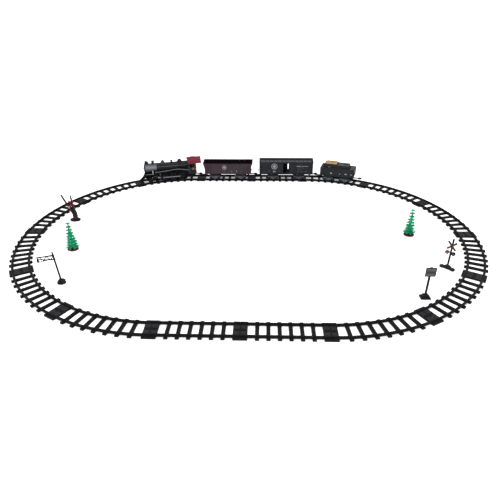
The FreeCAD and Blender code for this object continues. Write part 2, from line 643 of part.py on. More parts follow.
def cab_roof():
    arch_out = cab_outline(ROOF_SIDE, ROOF_R, 40)
    arch_in = cab_outline(ROOF_SIDE + 1, ROOF_R - ROOF_THICK, 30)
    roof = lengthwise(arch_out, ROOF_FRONT, ROOF_REAR).cut(lengthwise(arch_in, ROOF_FRONT - 1, ROOF_REAR + 1))
    eave = ROOF_CROWN - ROOF_R + math.sqrt(ROOF_R ** 2 - ROOF_SIDE ** 2) - 0.8
    roof = roof.common(box(ROOF_FRONT - 1, ROOF_REAR + 1, -30, 30, eave, 70))
    hatch = box(53, 67, -5, 5, ROOF_CROWN - 1.0, ROOF_CROWN + 0.6)
    inside = rod(ROOF_R - ROOF_THICK, (40, 0, ROOF_CROWN - ROOF_R), (90, 0, ROOF_CROWN - ROOF_R))
    return fuse([roof, hatch]).cut(inside)


def smokebox():
    """The grey front cap with its door, chimney and headlamp; it slides off forward."""
    drum = rod(BOILER_R + 0.3, (SMOKEBOX_FRONT, 0, BOILER_Z), (SMOKEBOX_REAR - 0.1, 0, BOILER_Z))
    spigot = rod(BOILER_BORE - 0.1, (SMOKEBOX_REAR - 0.2, 0, BOILER_Z), (-39, 0, BOILER_Z))
    door = cone(8.5, 10.8, (SMOKEBOX_FRONT - 1.6, 0, BOILER_Z), (SMOKEBOX_FRONT, 0, BOILER_Z))
    knob = rod(1.6, (SMOKEBOX_FRONT - 3.0, 0, BOILER_Z), (SMOKEBOX_FRONT, 0, BOILER_Z))
    straps = [box(SMOKEBOX_FRONT - 2.0, SMOKEBOX_FRONT, -9.5, 2, z - 0.7, z + 0.7) for z in (37.5, 45.5)]
    bore = rod(9.6, (SMOKEBOX_FRONT + 2.5, 0, BOILER_Z), (-30, 0, BOILER_Z))
    chimney = cone(4.4, 3.3, (-54, 0, 51), (-54, 0, 56.5))
    stack = cone(3.3, 4.1, (-54, 0, 56.5), (-54, 0, 62))
    flue = rod(2.2, (-54, 0, 57), (-54, 0, 63))
    bracket = box(-73, -69, -2, 2, 52, 56.5)
    lamp = rod(2.9, (-74.5, 0, 58.1), (-67.5, 0, 58.1))
    lens_recess = rod(2.2, (-75.5, 0, 58.1), (-73.7, 0, 58.1))
    body = fuse([drum, spigot, door, knob, bracket, lamp, chimney, stack] + straps)
    return body.cut(bore).cut(flue).cut(lens_recess)


def boiler_domes():
    """Sand dome and steam dome standing on the boiler."""
    domes = []
    for x, r, top in ((-26.0, 4.6, 62.5), (22.0, 5.5, 63.0)):
        cap = Part.makeSphere(r, Vector(x, 0, top - r))
        body = rod(r, (x, 0, 50), (x, 0, top - r))
        foot = rod(r + 1.2, (x, 0, 50), (x, 0, 55.4))
        dome = fuse([body, cap, foot])
        wall = BOILER_R if x < 14 else BOILER_R + 0.7
        domes.append(dome.cut(rod(wall, (x - 12, 0, BOILER_Z), (x + 12, 0, BOILER_Z))))
    return Part.makeCompound(domes)


def spoked_driver(gear):
    """A driving wheelset: two spoked wheels, an axle and opposite crankpins."""
    shape = wheelset(DRIVER_R, DRIVER_AXLE_R, WHEEL_FACE + 0.6)
    for k in range(9):
        a = math.radians(40 * k + 20)
        x, z = 5.9 * math.cos(a), 5.9 * math.sin(a)
        shape = shape.cut(rod(1.35, (x, -25, z), (x, -10, z))).cut(rod(1.35, (x, 10, z), (x, 25, z)))
    pins = []
    for side, x in ((-1, -CRANK), (1, CRANK)):
        pins.append(rod(2.2, (x, side * 15.6, 0), (x, side * 18.3, 0)))
        pins.append(rod(1.3, (x, side * 16.0, 0), (x, side * 20.9, 0)))
    if gear:
        pins.append(toothed(GEAR_TEETH, 9.5, 8.9, 4.9, 7.1))
    return fuse([shape] + pins)


def toothed(teeth, tip, root, y0, y1):
    """A spur gear about Y with straight-flanked teeth."""
    outline = []
    step = 2 * math.pi / teeth
    for k in range(teeth):
        for share, r in ((-0.30, root), (-0.14, tip), (0.14, tip), (0.30, root)):
            a = (k + share) * step
            outline.append((r * math.cos(a), r * math.sin(a)))
    return prism(outline, y0, y1)


def side_rod(side):
    """The coupling rod on one side, with an eye on each crankpin."""
    y0, y1 = sorted((side * ROD_IN, side * ROD_OUT))
    pieces = [box(-DRIVER_PITCH, DRIVER_PITCH, y0 + 0.15, y1 - 0.15, -1.2, 1.2)]
    for x in (-DRIVER_PITCH, 0.0, DRIVER_PITCH):
        pieces.append(rod(2.5, (x, y0, 0), (x, y1, 0)))
    shape = fuse(pieces)
    for x, r in ((-DRIVER_PITCH, 1.6), (0.0, 1.3 + RUNNING_FIT), (DRIVER_PITCH, 1.6)):
        shape = shape.cut(rod(r, (x, -30, 0), (x, 30, 0)))
    return moved(shape, side * CRANK, 0, DRIVER_Z)


def pony_truck():
    """The swinging arm that carries the leading wheels."""
    arm = box(-PONY_REACH, 0, -2.4, 2.4, 15.4, 17.2)
    eye = rod(3.4, (0, 0, 18.0), (0, 0, 20.7))
    neck = box(-6, 0, -2.4, 2.4, 15.4, 20.7)
    bearing = box(-PONY_REACH - 3, 3 - PONY_REACH, -9.5, 9.5, 10.4, 17.2)
    hole = rod(PIN_R + RUNNING_FIT, (0, 0, 10), (0, 0, 25))
    axle = rod(AXLE_R + RUNNING_FIT, (-PONY_REACH, -30, WHEEL_Z), (-PONY_REACH, 30, WHEEL_Z))
    return fuse([arm, eye, neck, bearing]).cut(hole).cut(axle)


def pony_frame():
    """Place and turn of the pony truck in the locomotive's frame."""
    dx, dy = PONY_X - PONY_PIVOT_X, PONY_Y
    return PONY_PIVOT_X, 0.0, math.degrees(math.atan2(-dy, -dx))


def motor():
    can = rod(6.8, (0, -8, 0), (0, 4, 0)).common(box(-10, 10, -9, 5, -5.6, 5.6))
    caps = [rod(2.6, (0, 3.9, 0), (0, 4.4, 0)), rod(2.6, (0, -8.4, 0), (0, -7.9, 0))]
    bore = rod(0.8 + RUNNING_FIT, (0, -3, 0), (0, 6, 0))
    return moved(fuse([can] + caps).cut(bore), MOTOR_X, 0, MOTOR_Z)


def motor_pinion():
    shaft = rod(0.8, (0, -2.5, 0), (0, 8.0, 0))
    return moved(fuse([shaft, toothed(PINION_TEETH, 2.35, 1.75, 4.7, 7.3)]), MOTOR_X, 0, MOTOR_Z)


def battery_cells():
    """Two cells end to end in the boiler, each with its positive button."""
    cells = []
    for x in (-73.5, -20.6):
        can = rod(CELL_R, (x, 0, BOILER_Z), (x + CELL_LENGTH - 1.4, 0, BOILER_Z))
        button = rod(2.7, (x + CELL_LENGTH - 1.5, 0, BOILER_Z), (x + CELL_LENGTH, 0, BOILER_Z))
        cells.append(fuse([can, button]))
    return Part.makeCompound(cells)


def power_switch():
    """A knob on a stem that slides in the slot on the boiler top."""
    stem = rod(1.1, (-1, 0, 52), (-1, 0, 57))
    skirt = rod(2.5, (-1, 0, 55.1), (-1, 0, 56.2))
    knob = cone(1.7, 2.3, (-1, 0, 56.2), (-1, 0, 60.6))
    cap = cone(2.3, 1.4, (-1, 0, 60.6), (-1, 0, 61.4))
    return fuse([stem, skirt, knob, cap])


def loco_nodes():
    nodes = {
        "loco_chassis": loco_chassis(),
        "loco_body": loco_body(),
        "cab_roof": cab_roof(),
        "smokebox": smokebox(),
        "boiler_domes": boiler_domes(),
        "near_side_rod": side_rod(-1),
        "far_side_rod": side_rod(1),
        "motor": motor(),
        "motor_pinion": motor_pinion(),
        "battery_cells": battery_cells(),
        "power_switch": power_switch(),
    }
    for k, x in ((1, -DRIVER_PITCH), (2, 0.0), (3, DRIVER_PITCH)):
        nodes[f"driver_{k}"] = moved(spoked_driver(gear=k == 3), x, 0, DRIVER_Z)
    px, py, turn = pony_frame()
    leading = moved(wheelset(WHEEL_R, AXLE_R, WHEEL_FACE + 0.6), -PONY_REACH, 0, WHEEL_Z)
    for name, shape in (("pony_truck", pony_truck()), ("pony_wheels", leading)):
        nodes[name] = moved(shape, px, py, 0, turn)
    nodes = {name: in_frame(shape, LOCO_FRAME) for name, shape in nodes.items()}
    pivot = point_in_frame(LOCO_PIVOT, 0, LOCO_FRAME)
    nodes["loco_drawbar"] = placed_drawbar(pivot, (HOPPER_POST_X, CURVE_R))
    return nodes


# ---------------------------------------------------------------- trackside


def oval_base(half_x, half_y, height):
    """A rounded base drafted towards its top."""
    low = Part.Wire(Part.Ellipse(ORIGIN, half_x, half_y).toShape())
    high = Part.Wire(Part.Ellipse(Vector(0, 0, height), half_x - 1.2, half_y - 1.2).toShape())
    return Part.makeLoft([low, high], True, False)


def crossbuck(z, half, width, y, thick):
    """Two crossed boards facing -Y."""
    boards = []
    for turn in (45, -45):
        board = box(-half, half, y - thick, y, z - width / 2, z + width / 2)
        board.rotate(Vector(0, 0, z), Y_AXIS, turn)
        boards.append(board)
    return boards


def lamp(x, y, z, r):
    """A round lamp facing -Y with a back plate."""
    return [rod(r, (x, y, z), (x, y + 3.0, z)), rod(r + 1.0, (x, y + 1.8, z), (x, y + 2.6, z))]


def crossing_gate_base():
    mast = rod(1.7, (0, 0, 2), (0, 0, 64))
    cap = cone(2.4, 0.8, (0, 0, 63), (0, 0, 65.5))
    housing = box(-3.5, 6.5, -3.0, 3.0, 3.0, 19.0)
    pin = rod(1.2, (2, -7.6, GATE_PIVOT_Z), (2, 0, GATE_PIVOT_Z))
    pin_head = rod(2.0, (2, -8.4, GATE_PIVOT_Z), (2, -7.0, GATE_PIVOT_Z))
    bar = box(-6.0, 6.0, -1.0, 1.0, 33.6, 35.4)
    lamps = lamp(5.0, -3.4, 34.5, 2.4) + lamp(-5.0, -3.4, 34.5, 2.4)
    boards = crossbuck(45.5, 9.0, 3.2, -1.4, 1.2)
    pieces = [oval_base(12.5, 8.5, 3.6), mast, cap, housing, pin, pin_head, bar] + lamps + boards
    return fuse(pieces)


def gate_arm():
    """A tapered arm and its counterweight, hinged at the origin, pointing up."""
    length = GATE_ARM_LENGTH
    arm = prism([(-2.0, -3), (2.0, -3), (1.3, length), (-1.3, length)], -5.6, -4.4)
    eye = rod(3.2, (0, -5.9, 0), (0, -4.1, 0))
    weight = box(-3.4, 3.4, -6.2, -3.8, -8.6, -3.0)
    hole = rod(1.2 + RUNNING_FIT, (0, -20, 0), (0, 20, 0))
    shape = fuse([arm, eye, weight]).cut(hole)
    shape.rotate(ORIGIN, Y_AXIS, GATE_ARM_RAISED - 90)
    return moved(shape, 2.0, 0, GATE_PIVOT_Z)


def crossing_signal():
    """A signal on a bone-shaped base, its face square to the base's long axis."""
    ends = [rod(5.0, (x, 0, 0), (x, 0, 3.2)) for x in (-10.5, 10.5)]
    web = box(-10.5, 10.5, -3.4, 3.4, 0, 3.2)
    foot = rod(3.4, (0, 0, 3.0), (0, 0, 6.5))
    mast = rod(1.5, (0, 0, 3), (0, 0, 65))
    bar = box(-7.5, 7.5, -1.0, 1.0, 36.0, 37.8)
    lamps = lamp(6.2, -3.6, 36.9, 2.8) + lamp(-6.2, -3.6, 36.9, 2.8)
    boards = crossbuck(52.5, 11.5, 3.4, -1.2, 1.2)
    cap = cone(2.2, 0.7, (0, 0, 64), (0, 0, 66))
    shape = fuse(ends + [web, foot, mast, bar, cap] + lamps + boards)
    return moved(shape, turn=-43.0)


def catenary_mast():
    """A mast with a braced arm towards -X and a hanging insulator."""
    base = oval_base(8.6, 7.6, 4.0)
    mast = prism([(-1.4, 3), (1.4, 3), (-2.6, 65), (-5.0, 65)], -1.3, 1.3)
    upper = rod(1.0, (-3.5, 0, 60.5), (-36, 0, 55.5))
    lower = rod(0.9, (-3.0, 0, 52.5), (-24.5, 0, 50.5))
    braces = [rod(0.7, (-10, 0, 51.8), (-4, 0, 60)), rod(0.7, (-10, 0, 51.8), (-17, 0, 58.4)),
              rod(0.7, (-24, 0, 50.6), (-17, 0, 58.4)), rod(0.7, (-24, 0, 50.6), (-31, 0, 56.3))]
    insulator = [rod(0.9, (-35.2, 0, 45), (-35.2, 0, 56.2))]
    insulator += [rod(2.0, (-35.2, 0, z), (-35.2, 0, z + 1.1)) for z in (46.2, 48.4, 50.6)]
    return fuse([base, mast, upper, lower] + braces + insulator)


def sign_post():
    """A stepped base, a post and a plank board with a gap between its planks."""
    base = [box(-9, 9, -7, 7, 0, 2.4), box(-6.5, 6.5, -5, 5, 2.0, 4.6)]
    post = box(-1.4, 1.4, -1.2, 1.2, 4, 64)
    planks = [box(-9.2, 9.2, -2.6, -1.1, 47.5, 55.4), box(-9.2, 9.2, -2.6, -1.1, 56.8, 65.0)]
    return fuse(base + [post] + planks)


def tree(height, spread):
    """A fir: a round foot, a trunk and whorls that shrink towards the top."""
    foot = cone(12.0, 9.5, (0, 0, 0), (0, 0, 4.0))
    trunk = cone(2.6, 1.0, (0, 0, 3.5), (0, 0, height - 6))
    whorls = []
    levels = 8
    for k in range(levels):
        z = 6.0 + k * (height - 15.0) / (levels - 1)
        r = spread * (1 - 0.78 * k / (levels - 1))
        whorls.append(cone(r, r * 0.28, (0, 0, z), (0, 0, z + 6.2)))
    tip = cone(2.0, 0.3, (0, 0, height - 8), (0, 0, height))
    return fuse([foot, trunk, tip] + whorls)


def trackside_nodes():
    return {
        "crossing_gate_base": moved(crossing_gate_base(), *GATE_AT),
        "crossing_gate_arm": moved(gate_arm(), *GATE_AT),
        "crossing_signal": moved(crossing_signal(), *SIGNAL_AT),
        "catenary_mast": moved(catenary_mast(), *CATENARY_AT),
        "sign_post": moved(sign_post(), *SIGN_AT),
        "left_tree": moved(tree(64.5, 15.5), *LEFT_TREE_AT),
        "right_tree": moved(tree(62.0, 14.0), *RIGHT_TREE_AT),
    }


def main():
    os.makedirs("parts", exist_ok=True)
    nodes = {}
    for group in (track_nodes, loco_nodes, hopper_nodes, boxcar_nodes, tender_nodes, trackside_nodes):
        nodes.update(group())
    for name, shape in nodes.items():
        shape.exportStep(f"parts/{name}.step")
        if not shape.isValid():
            print("not valid:", name)
    print(len(nodes), "nodes")


main()
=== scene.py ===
import json
import random
from math import atan2, cos, hypot, pi, radians, sin

import bmesh
import bpy
from mathutils import Matrix, Vector


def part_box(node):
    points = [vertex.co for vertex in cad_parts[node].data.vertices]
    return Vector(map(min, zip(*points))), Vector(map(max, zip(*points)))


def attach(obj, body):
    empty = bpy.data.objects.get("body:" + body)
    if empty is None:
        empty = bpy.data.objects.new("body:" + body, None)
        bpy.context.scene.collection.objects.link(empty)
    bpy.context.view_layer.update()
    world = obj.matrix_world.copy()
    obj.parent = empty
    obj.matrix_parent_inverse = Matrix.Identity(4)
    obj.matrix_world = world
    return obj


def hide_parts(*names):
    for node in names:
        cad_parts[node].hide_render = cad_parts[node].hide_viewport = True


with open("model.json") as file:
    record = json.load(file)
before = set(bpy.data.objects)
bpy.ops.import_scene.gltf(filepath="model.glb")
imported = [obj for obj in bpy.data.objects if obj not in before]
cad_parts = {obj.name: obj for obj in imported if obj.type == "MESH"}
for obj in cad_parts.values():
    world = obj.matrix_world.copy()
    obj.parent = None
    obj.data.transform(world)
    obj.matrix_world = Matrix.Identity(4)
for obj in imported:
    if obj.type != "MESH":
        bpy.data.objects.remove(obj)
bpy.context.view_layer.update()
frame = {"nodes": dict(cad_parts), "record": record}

MM = 0.001
JOINTS = {joint["name"]: joint for joint in frame["record"]["behaviour"]["joints"]}
X, Y, Z = Vector((1, 0, 0)), Vector((0, 1, 0)), Vector((0, 0, 1))
SIDES = (-1, 1)


# ---------------- places


def place(x, y, turn=0.0):
    """From a vehicle's own millimetres to the shared frame in metres."""
    return Matrix.Translation((x, y, 0)) @ Matrix.Rotation(turn, 4, "Z") @ Matrix.Scale(MM, 4)


def joint_at(name):
    return Vector(JOINTS[name]["pos_m"])


def heading(name):
    """Heading of the vehicle whose cross axle this joint turns."""
    axis = JOINTS[name]["axis"]
    return atan2(axis[0], -axis[1])


def wagon_place(vehicle):
    front = joint_at(f"{vehicle}_front_bogie_swivel")
    rear = joint_at(f"{vehicle}_rear_bogie_swivel")
    return place((front.x + rear.x) / 2, (front.y + rear.y) / 2,
                 atan2(rear.y - front.y, rear.x - front.x))


def node_middle(node):
    low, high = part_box(node)
    return (low.x + high.x) / 2, (low.y + high.y) / 2


LOCO = place(joint_at("driver_2_roll").x, joint_at("driver_2_roll").y, heading("driver_2_roll"))
HOPPER, BOXCAR, TENDER = wagon_place("hopper"), wagon_place("boxcar"), wagon_place("tender")
GATE = place(*node_middle("crossing_gate_base"))
SIGNAL = place(*node_middle("crossing_signal"), radians(-43.0))
SIGN = place(*node_middle("sign_post"))
CATENARY = place(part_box("catenary_mast")[1].x - 0.0086, node_middle("catenary_mast")[1])
GROUND = Matrix.Scale(MM, 4)


# ---------------- shapes


def turns(count):
    """Even angles round a full circle."""
    return [2 * pi * k / count for k in range(count)]


class Shape:
    """Faces gathered in one vehicle's own millimetres, which become one piece on one body."""

    def __init__(self, at, body):
        self.at, self.body = at, body
        self.points, self.faces = [], []

    def add(self, points, faces):
        first = len(self.points)
        self.points += [Vector(p) for p in points]
        self.faces += [[first + k for k in face] for face in faces]

    def slab(self, ring, shift):
        """A flat outline thickened by a shift."""
        n = len(ring)
        far = [Vector(p) + Vector(shift) for p in ring]
        walls = [[k, (k + 1) % n, n + (k + 1) % n, n + k] for k in range(n)]
        self.add(list(ring) + far, [list(range(n)), list(range(n, 2 * n))] + walls)

    def block(self, x0, x1, y0, y1, z0, z1):
        """A box, whose x pair and y pair may come in either order."""
        x0, x1 = sorted((x0, x1))
        y0, y1 = sorted((y0, y1))
        self.slab([(x0, y0, z0), (x1, y0, z0), (x1, y1, z0), (x0, y1, z0)], (0, 0, z1 - z0))

    def loops(self, rings):
        """Skins a run of rings of equal count, or single points, and closes its ends."""
        places, points, faces = [], [], []
        for ring in rings:
            places.append(list(range(len(points), len(points) + len(ring))))
            points += ring
        for a, b in zip(places, places[1:]):
            n = max(len(a), len(b))
            for k in range(n):
                m = (k + 1) % n
                face = [a[k % len(a)], a[m % len(a)], b[m % len(b)], b[k % len(b)]]
                faces.append(list(dict.fromkeys(face)))
        for ring in (places[0], places[-1]):
            if len(ring) > 2:
                faces.append(ring)
        self.add(points, faces)

    def turned(self, at, axis, profile, sides=14):
        """Radius and height pairs turned about an axis."""
        axis = Vector(axis).normalized()
        u = axis.orthogonal().normalized()
        v = axis.cross(u)
        rings = []
        for radius, height in profile:
            middle = Vector(at) + axis * height
            if radius <= 0:
                rings.append([middle])
                continue
            rings.append([middle + (u * cos(a) + v * sin(a)) * radius for a in turns(sides)])
        self.loops(rings)

    def tube(self, path, radius, sides=8):
        """A round bar along a path; radius is one number or one for each point."""
        path = [Vector(p) for p in path]
        radii = radius if isinstance(radius, list) else [radius] * len(path)
        u = (path[1] - path[0]).orthogonal().normalized()
        rings = []
        for k, point in enumerate(path):
            ahead = path[min(k + 1, len(path) - 1)] - path[max(k - 1, 0)]
            ahead.normalize()
            u = (u - ahead * u.dot(ahead)).normalized()
            v = ahead.cross(u)
            rings.append([point + (u * cos(a) + v * sin(a)) * radii[k] for a in turns(sides)])
        self.loops(rings)

    def staple(self, a, b, out, radius=0.35):
        """A grab iron from a to b that stands off by out."""
        a, b, out = Vector(a), Vector(b), Vector(out)
        inset = (b - a).normalized() * 0.35
        self.tube([a, a + out * 0.75, a + out + inset, b + out - inset, b + out * 0.75, b], radius, 6)

    def rivet(self, at, axis, radius=0.38):
        self.turned(at, axis, [(radius, -0.1), (radius, 0.06), (radius * 0.62, 0.22), (0, 0.28)], 7)

    def rivets(self, a, b, count, axis, radius=0.38):
        a, b = Vector(a), Vector(b)
        for k in range(count):
            self.rivet(a.lerp(b, k / max(1, count - 1)), axis, radius)

    def row(self, side, x0, x1, y, z, count, radius=0.38):
        """A level row of rivets on one side of a vehicle."""
        self.rivets((x0, side * y, z), (x1, side * y, z), count, Y * side, radius)

    def plate(self, side, y, thick, outline):
        """A thin plate on one side of a vehicle, from an outline of x and z."""
        self.slab([(x, side * y, z) for x, z in outline], (0, side * thick, 0))

    def stack(self, levels):
        """Oblongs from x0 to x1 and half a width each way, skinned one over another."""
        self.loops([[Vector(p) for p in ((x0, -w, z), (x1, -w, z), (x1, w, z), (x0, w, z))]
                    for x0, x1, w, z in levels])

    def ring(self, at, axis, inner, outer, depth, sides=24):
        """A flat ring with rounded outer and inner lips."""
        lip = min(depth, outer - inner) * 0.25
        axis = Vector(axis).normalized()
        u = axis.orthogonal().normalized()
        v = axis.cross(u)
        profile = [(inner, 0), (inner, depth - lip), (inner + lip, depth), (outer - lip, depth),
                   (outer, depth - lip), (outer, 0)]
        points, faces, m = [], [], len(profile)
        for k in range(sides):
            a = 2 * pi * k / sides
            spoke = u * cos(a) + v * sin(a)
            points += [Vector(at) + spoke * r + axis * h for r, h in profile]
            for j in range(m):
                n, i = (k + 1) % sides, (j + 1) % m
                faces.append([k * m + j, k * m + i, n * m + i, n * m + j])
        self.add(points, faces)

    def arch(self, x0, x1, radius, thick, centre_z, start, end, steps=24):
        """A strip bent about the vehicle's long axis, from one angle from upright to another."""
        angles = [radians(start + (end - start) * k / steps) for k in range(steps + 1)]
        rings = []
        for a in angles:
            s, c = sin(a), cos(a)
            rings.append([(x, r * s, centre_z + r * c) for x, r in
                          ((x0, radius), (x1, radius), (x1, radius + thick), (x0, radius + thick))])
        self.loops([[Vector(p) for p in ring] for ring in rings])


def shapes(count, at, body):
    return [Shape(at, body) for _ in range(count)]


def add_object(name, data):
    made = bpy.data.objects.new(name, data)
    bpy.context.scene.collection.objects.link(made)
    return made


def piece(name, shape, look, bevel=0.0, sharp=35):
    """Makes one object of a gathered shape, which rides on its body."""
    mesh = bpy.data.meshes.new(name)
    mesh.from_pydata([shape.at @ p for p in shape.points], [], shape.faces)
    work = bmesh.new()
    work.from_mesh(mesh)
    bmesh.ops.recalc_face_normals(work, faces=work.faces)
    work.to_mesh(mesh)
    work.free()
    mesh.polygons.foreach_set("use_smooth", [True] * len(mesh.polygons))
    mesh.set_sharp_from_angle(angle=radians(sharp))
    mesh.materials.append(look)
    made = add_object(name, mesh)
    if bevel:
        soft = made.modifiers.new("soft_edges", "BEVEL")
        soft.width, soft.segments, soft.limit_method = bevel * MM, 2, "ANGLE"
        soft.use_clamp_overlap = True
    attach(made, shape.body)
    return made


# ---------------- looks


def linear(colour):
    """Display colour from 0 to 255 as linear light."""
    return [((c / 255 + 0.055) / 1.055) ** 2.4 if c > 10 else c / 255 / 12.92 for c in colour]


def scaled(colour, share):
    return (*[min(1.0, c * share) for c in colour], 1.0)


def add_node(made, kind, values, wires, **settings):
    """Adds a shader node with its settings, its input values and the sockets wired into it."""
    node = made.node_tree.nodes.new("ShaderNode" + kind)
    for name, value in settings.items():
        setattr(node, name, value)
    for name, value in values.items():
        node.inputs[name].default_value = value
    for name, socket in wires.items():
        made.node_tree.links.new(socket, node.inputs[name])
    return node


def place_of(made):
    return add_node(made, "TexCoord", {}, {}).outputs["Object"]


def look(name, colour, spread, rough, specular=0.35, metallic=0.0, coat=0.0, grain=900, bump=0.12,
         edge=0.35, stretch=(1, 1, 1)):
    """Moulded or painted finish: cloudy colour, fine grain, softened and lighter edges."""
    cloud_scale, edge_radius, relief_depth, rough_swing = 70, 0.00035, 0.0003, 0.09
    colour = linear(colour)
    made = bpy.data.materials.new(name)
    made.use_nodes = True
    links, shader = made.node_tree.links, made.node_tree.nodes["Principled BSDF"]
    for name_in, value in (("Metallic", metallic), ("Specular IOR Level", specular), ("Coat Weight", coat),
                           ("Coat Roughness", 0.25)):
        shader.inputs[name_in].default_value = value
    mapping = add_node(made, "Mapping", {"Scale": stretch}, {"Vector": place_of(made)}).outputs["Vector"]
    clouds, fine = [
        add_node(made, "TexNoise", {"Scale": scale, "Detail": detail}, {"Vector": mapping}).outputs["Fac"]
        for scale, detail in ((cloud_scale, 5), (grain, 4))]
    ramp = add_node(made, "ValToRGB", {}, {"Fac": clouds})
    for stop, at, share in ((0, 0.3, 1 - spread), (1, 0.7, 1 + spread)):
        ramp.color_ramp.elements[stop].position = at
        ramp.color_ramp.elements[stop].color = scaled(colour, share)

    rounded = add_node(made, "Bevel", {"Radius": edge_radius}, {}, samples=4).outputs["Normal"]
    flat = add_node(made, "NewGeometry", {}, {}).outputs["Normal"]
    dot = add_node(made, "VectorMath", {}, {0: rounded, 1: flat}, operation="DOT_PRODUCT")
    worn = add_node(made, "MapRange", {"From Min": 0.98, "From Max": 0.8, "To Min": 0.0, "To Max": edge},
                    {"Value": dot.outputs["Value"]})
    mix = add_node(made, "Mix", {"B": scaled([c * 1.6 + 0.02 for c in colour], 1.0)},
                   {"Factor": worn.outputs["Result"], "A": ramp.outputs["Color"]}, data_type="RGBA")
    links.new(mix.outputs["Result"], shader.inputs["Base Color"])

    wear = add_node(made, "MapRange", {"To Min": rough - rough_swing, "To Max": rough + rough_swing},
                    {"Value": clouds})
    links.new(wear.outputs["Result"], shader.inputs["Roughness"])
    relief = add_node(made, "Bump", {"Strength": bump, "Distance": relief_depth},
                      {"Height": fine, "Normal": rounded})
    links.new(relief.outputs["Normal"], shader.inputs["Normal"])
    return made


def blended(made, colour, direction, low, high):
    """Lets a look change to another colour along a direction, between two distances in metres."""
    base_in = made.node_tree.nodes["Principled BSDF"].inputs["Base Color"]
    dot = add_node(made, "VectorMath", {1: direction}, {0: place_of(made)}, operation="DOT_PRODUCT")
    share = add_node(made, "MapRange", {"From Min": low, "From Max": high}, {"Value": dot.outputs["Value"]})
    mix = add_node(made, "Mix", {"B": scaled(linear(colour), 1.0)},
                   {"Factor": share.outputs["Result"], "A": base_in.links[0].from_socket}, data_type="RGBA")
    made.node_tree.links.new(mix.outputs["Result"], base_in)


TRACK = look("track_black", (13, 13, 15), 0.35, 0.5, 0.07, grain=700, bump=0.2)
COVER = look("cylinder_cover_grey", (58, 59, 62), 0.3, 0.4, 0.2)
JOIN = look("joining_plate_grey", (27, 27, 31), 0.35, 0.5, 0.14, grain=700, bump=0.25)
BLACK = look("boiler_black", (16, 18, 20), 0.3, 0.36, 0.14)
BODY = look("loco_body_black", (16, 18, 20), 0.3, 0.36, 0.14)
CHASSIS = look("chassis_black", (9, 9, 11), 0.3, 0.55, 0.06, edge=0.2)
WHEEL = look("wheel_black", (14, 14, 16), 0.3, 0.45, 0.1)
BOGIE = look("bogie_grey", (26, 27, 30), 0.3, 0.5, 0.12)
TRUSS = look("truss_grey", (88, 91, 97), 0.3, 0.5, 0.14, edge=0.2)
RED = look("roof_crimson", (95, 27, 42), 0.14, 0.42, 0.1)
# Dark red painted reflection of the red roof on the cab front, and painted shade under its eaves.
ROOF_REFLECTION_AND_SHADE = look("painted_roof_reflection_and_shade", (40, 12, 18), 0.25, 0.5, 0.08)
ROD = look("rod_silver", (112, 113, 118), 0.2, 0.34, metallic=0.7, bump=0.08)
WIRE = look("pale_wire", (92, 94, 98), 0.15, 0.4, 0.15, metallic=0.2, edge=0.1)
# Pale strips standing for a painted highlight along the running board and front deck edges.
EDGE_HIGHLIGHT = look("painted_edge_highlight", (116, 118, 122), 0.2, 0.5, 0.12, edge=0.1)
PIPE = look("pale_pipe", (214, 216, 220), 0.08, 0.4, edge=0.1)
STEEL = look("motor_steel", (120, 122, 125), 0.15, 0.3, metallic=0.9)
BRASS = look("pinion_brass", (160, 124, 64), 0.15, 0.3, metallic=0.9)
CELL = look("cell_wrap", (44, 60, 52), 0.1, 0.3, 0.2)
BROWN = look("hopper_maroon_brown", (52, 42, 48), 0.16, 0.6, 0.08)
HOPPER_LOOK = look("hopper_sides", (52, 42, 48), 0.16, 0.6, 0.08)
# A darker copy of the hopper brown: painted shade inside the open hopper.
HOPPER_SHADE_LINING = look("hopper_inside_painted_shade", (21, 14, 16), 0.3, 0.8, 0.02, edge=0.1)
BOXGREY = look("boxcar_charcoal", (26, 29, 33), 0.18, 0.55, 0.09)
ROOFDARK = look("boxcar_roof_dark", (32, 31, 33), 0.25, 0.6, 0.1)
STRIP = look("roof_strip_grey", (68, 68, 72), 0.14, 0.6, 0.1)
COAL = look("tender_black", (27, 30, 32), 0.3, 0.5, 0.1)
PLATE = look("bunker_top_grey", (58, 57, 60), 0.2, 0.6, 0.12)
MARK = look("pale_mark", (128, 130, 134), 0.12, 0.55, 0.1, edge=0.1)
FAINT = look("faint_mark", (76, 73, 76), 0.2, 0.6, 0.1, edge=0.1)
GOLD = look("ochre_load", (150, 112, 66), 0.22, 0.55, 0.1, grain=500, bump=0.5)
RIM = look("load_rim_pale", (186, 168, 136), 0.1, 0.5, 0.1)
EARTH = look("load_dark_edge", (34, 23, 15), 0.3, 0.7, 0.06)
GREEN = look("fir_green", (14, 142, 98), 0.4, 0.5, 0.1, grain=1200, bump=0.3, edge=0.15)
FOOT = look("tree_foot_red_brown", (66, 24, 28), 0.3, 0.6, 0.1, grain=500, bump=0.5)
MAST = look("mast_dark_green_grey", (26, 31, 30), 0.25, 0.5, 0.1)
SIGNAL_BLACK = look("signal_black", (20, 21, 23), 0.3, 0.5, 0.1)
OLIVE = look("olive_board", (66, 55, 40), 0.25, 0.55, 0.08)
CROSS_RED = look("crossbuck_red", (98, 26, 40), 0.2, 0.5, 0.08)
ARM_RED = look("arm_dark_red", (52, 20, 26), 0.25, 0.5, 0.08)
ARM_PALE = look("arm_pale", (158, 116, 122), 0.1, 0.5, 0.1, edge=0.1)
LENS_RED = look("lens_red", (84, 22, 32), 0.15, 0.18, 0.3, coat=0.2, edge=0.0)
LENS_GREEN = look("lens_green", (44, 68, 58), 0.15, 0.18, 0.3, coat=0.2, edge=0.0)
LENS_PALE = look("lens_pale", (170, 166, 152), 0.1, 0.12, 0.4, coat=0.3, edge=0.0)
BOARD = look("grey_plank", (84, 84, 82), 0.3, 0.65, 0.08, stretch=(0.3, 1, 2.5))
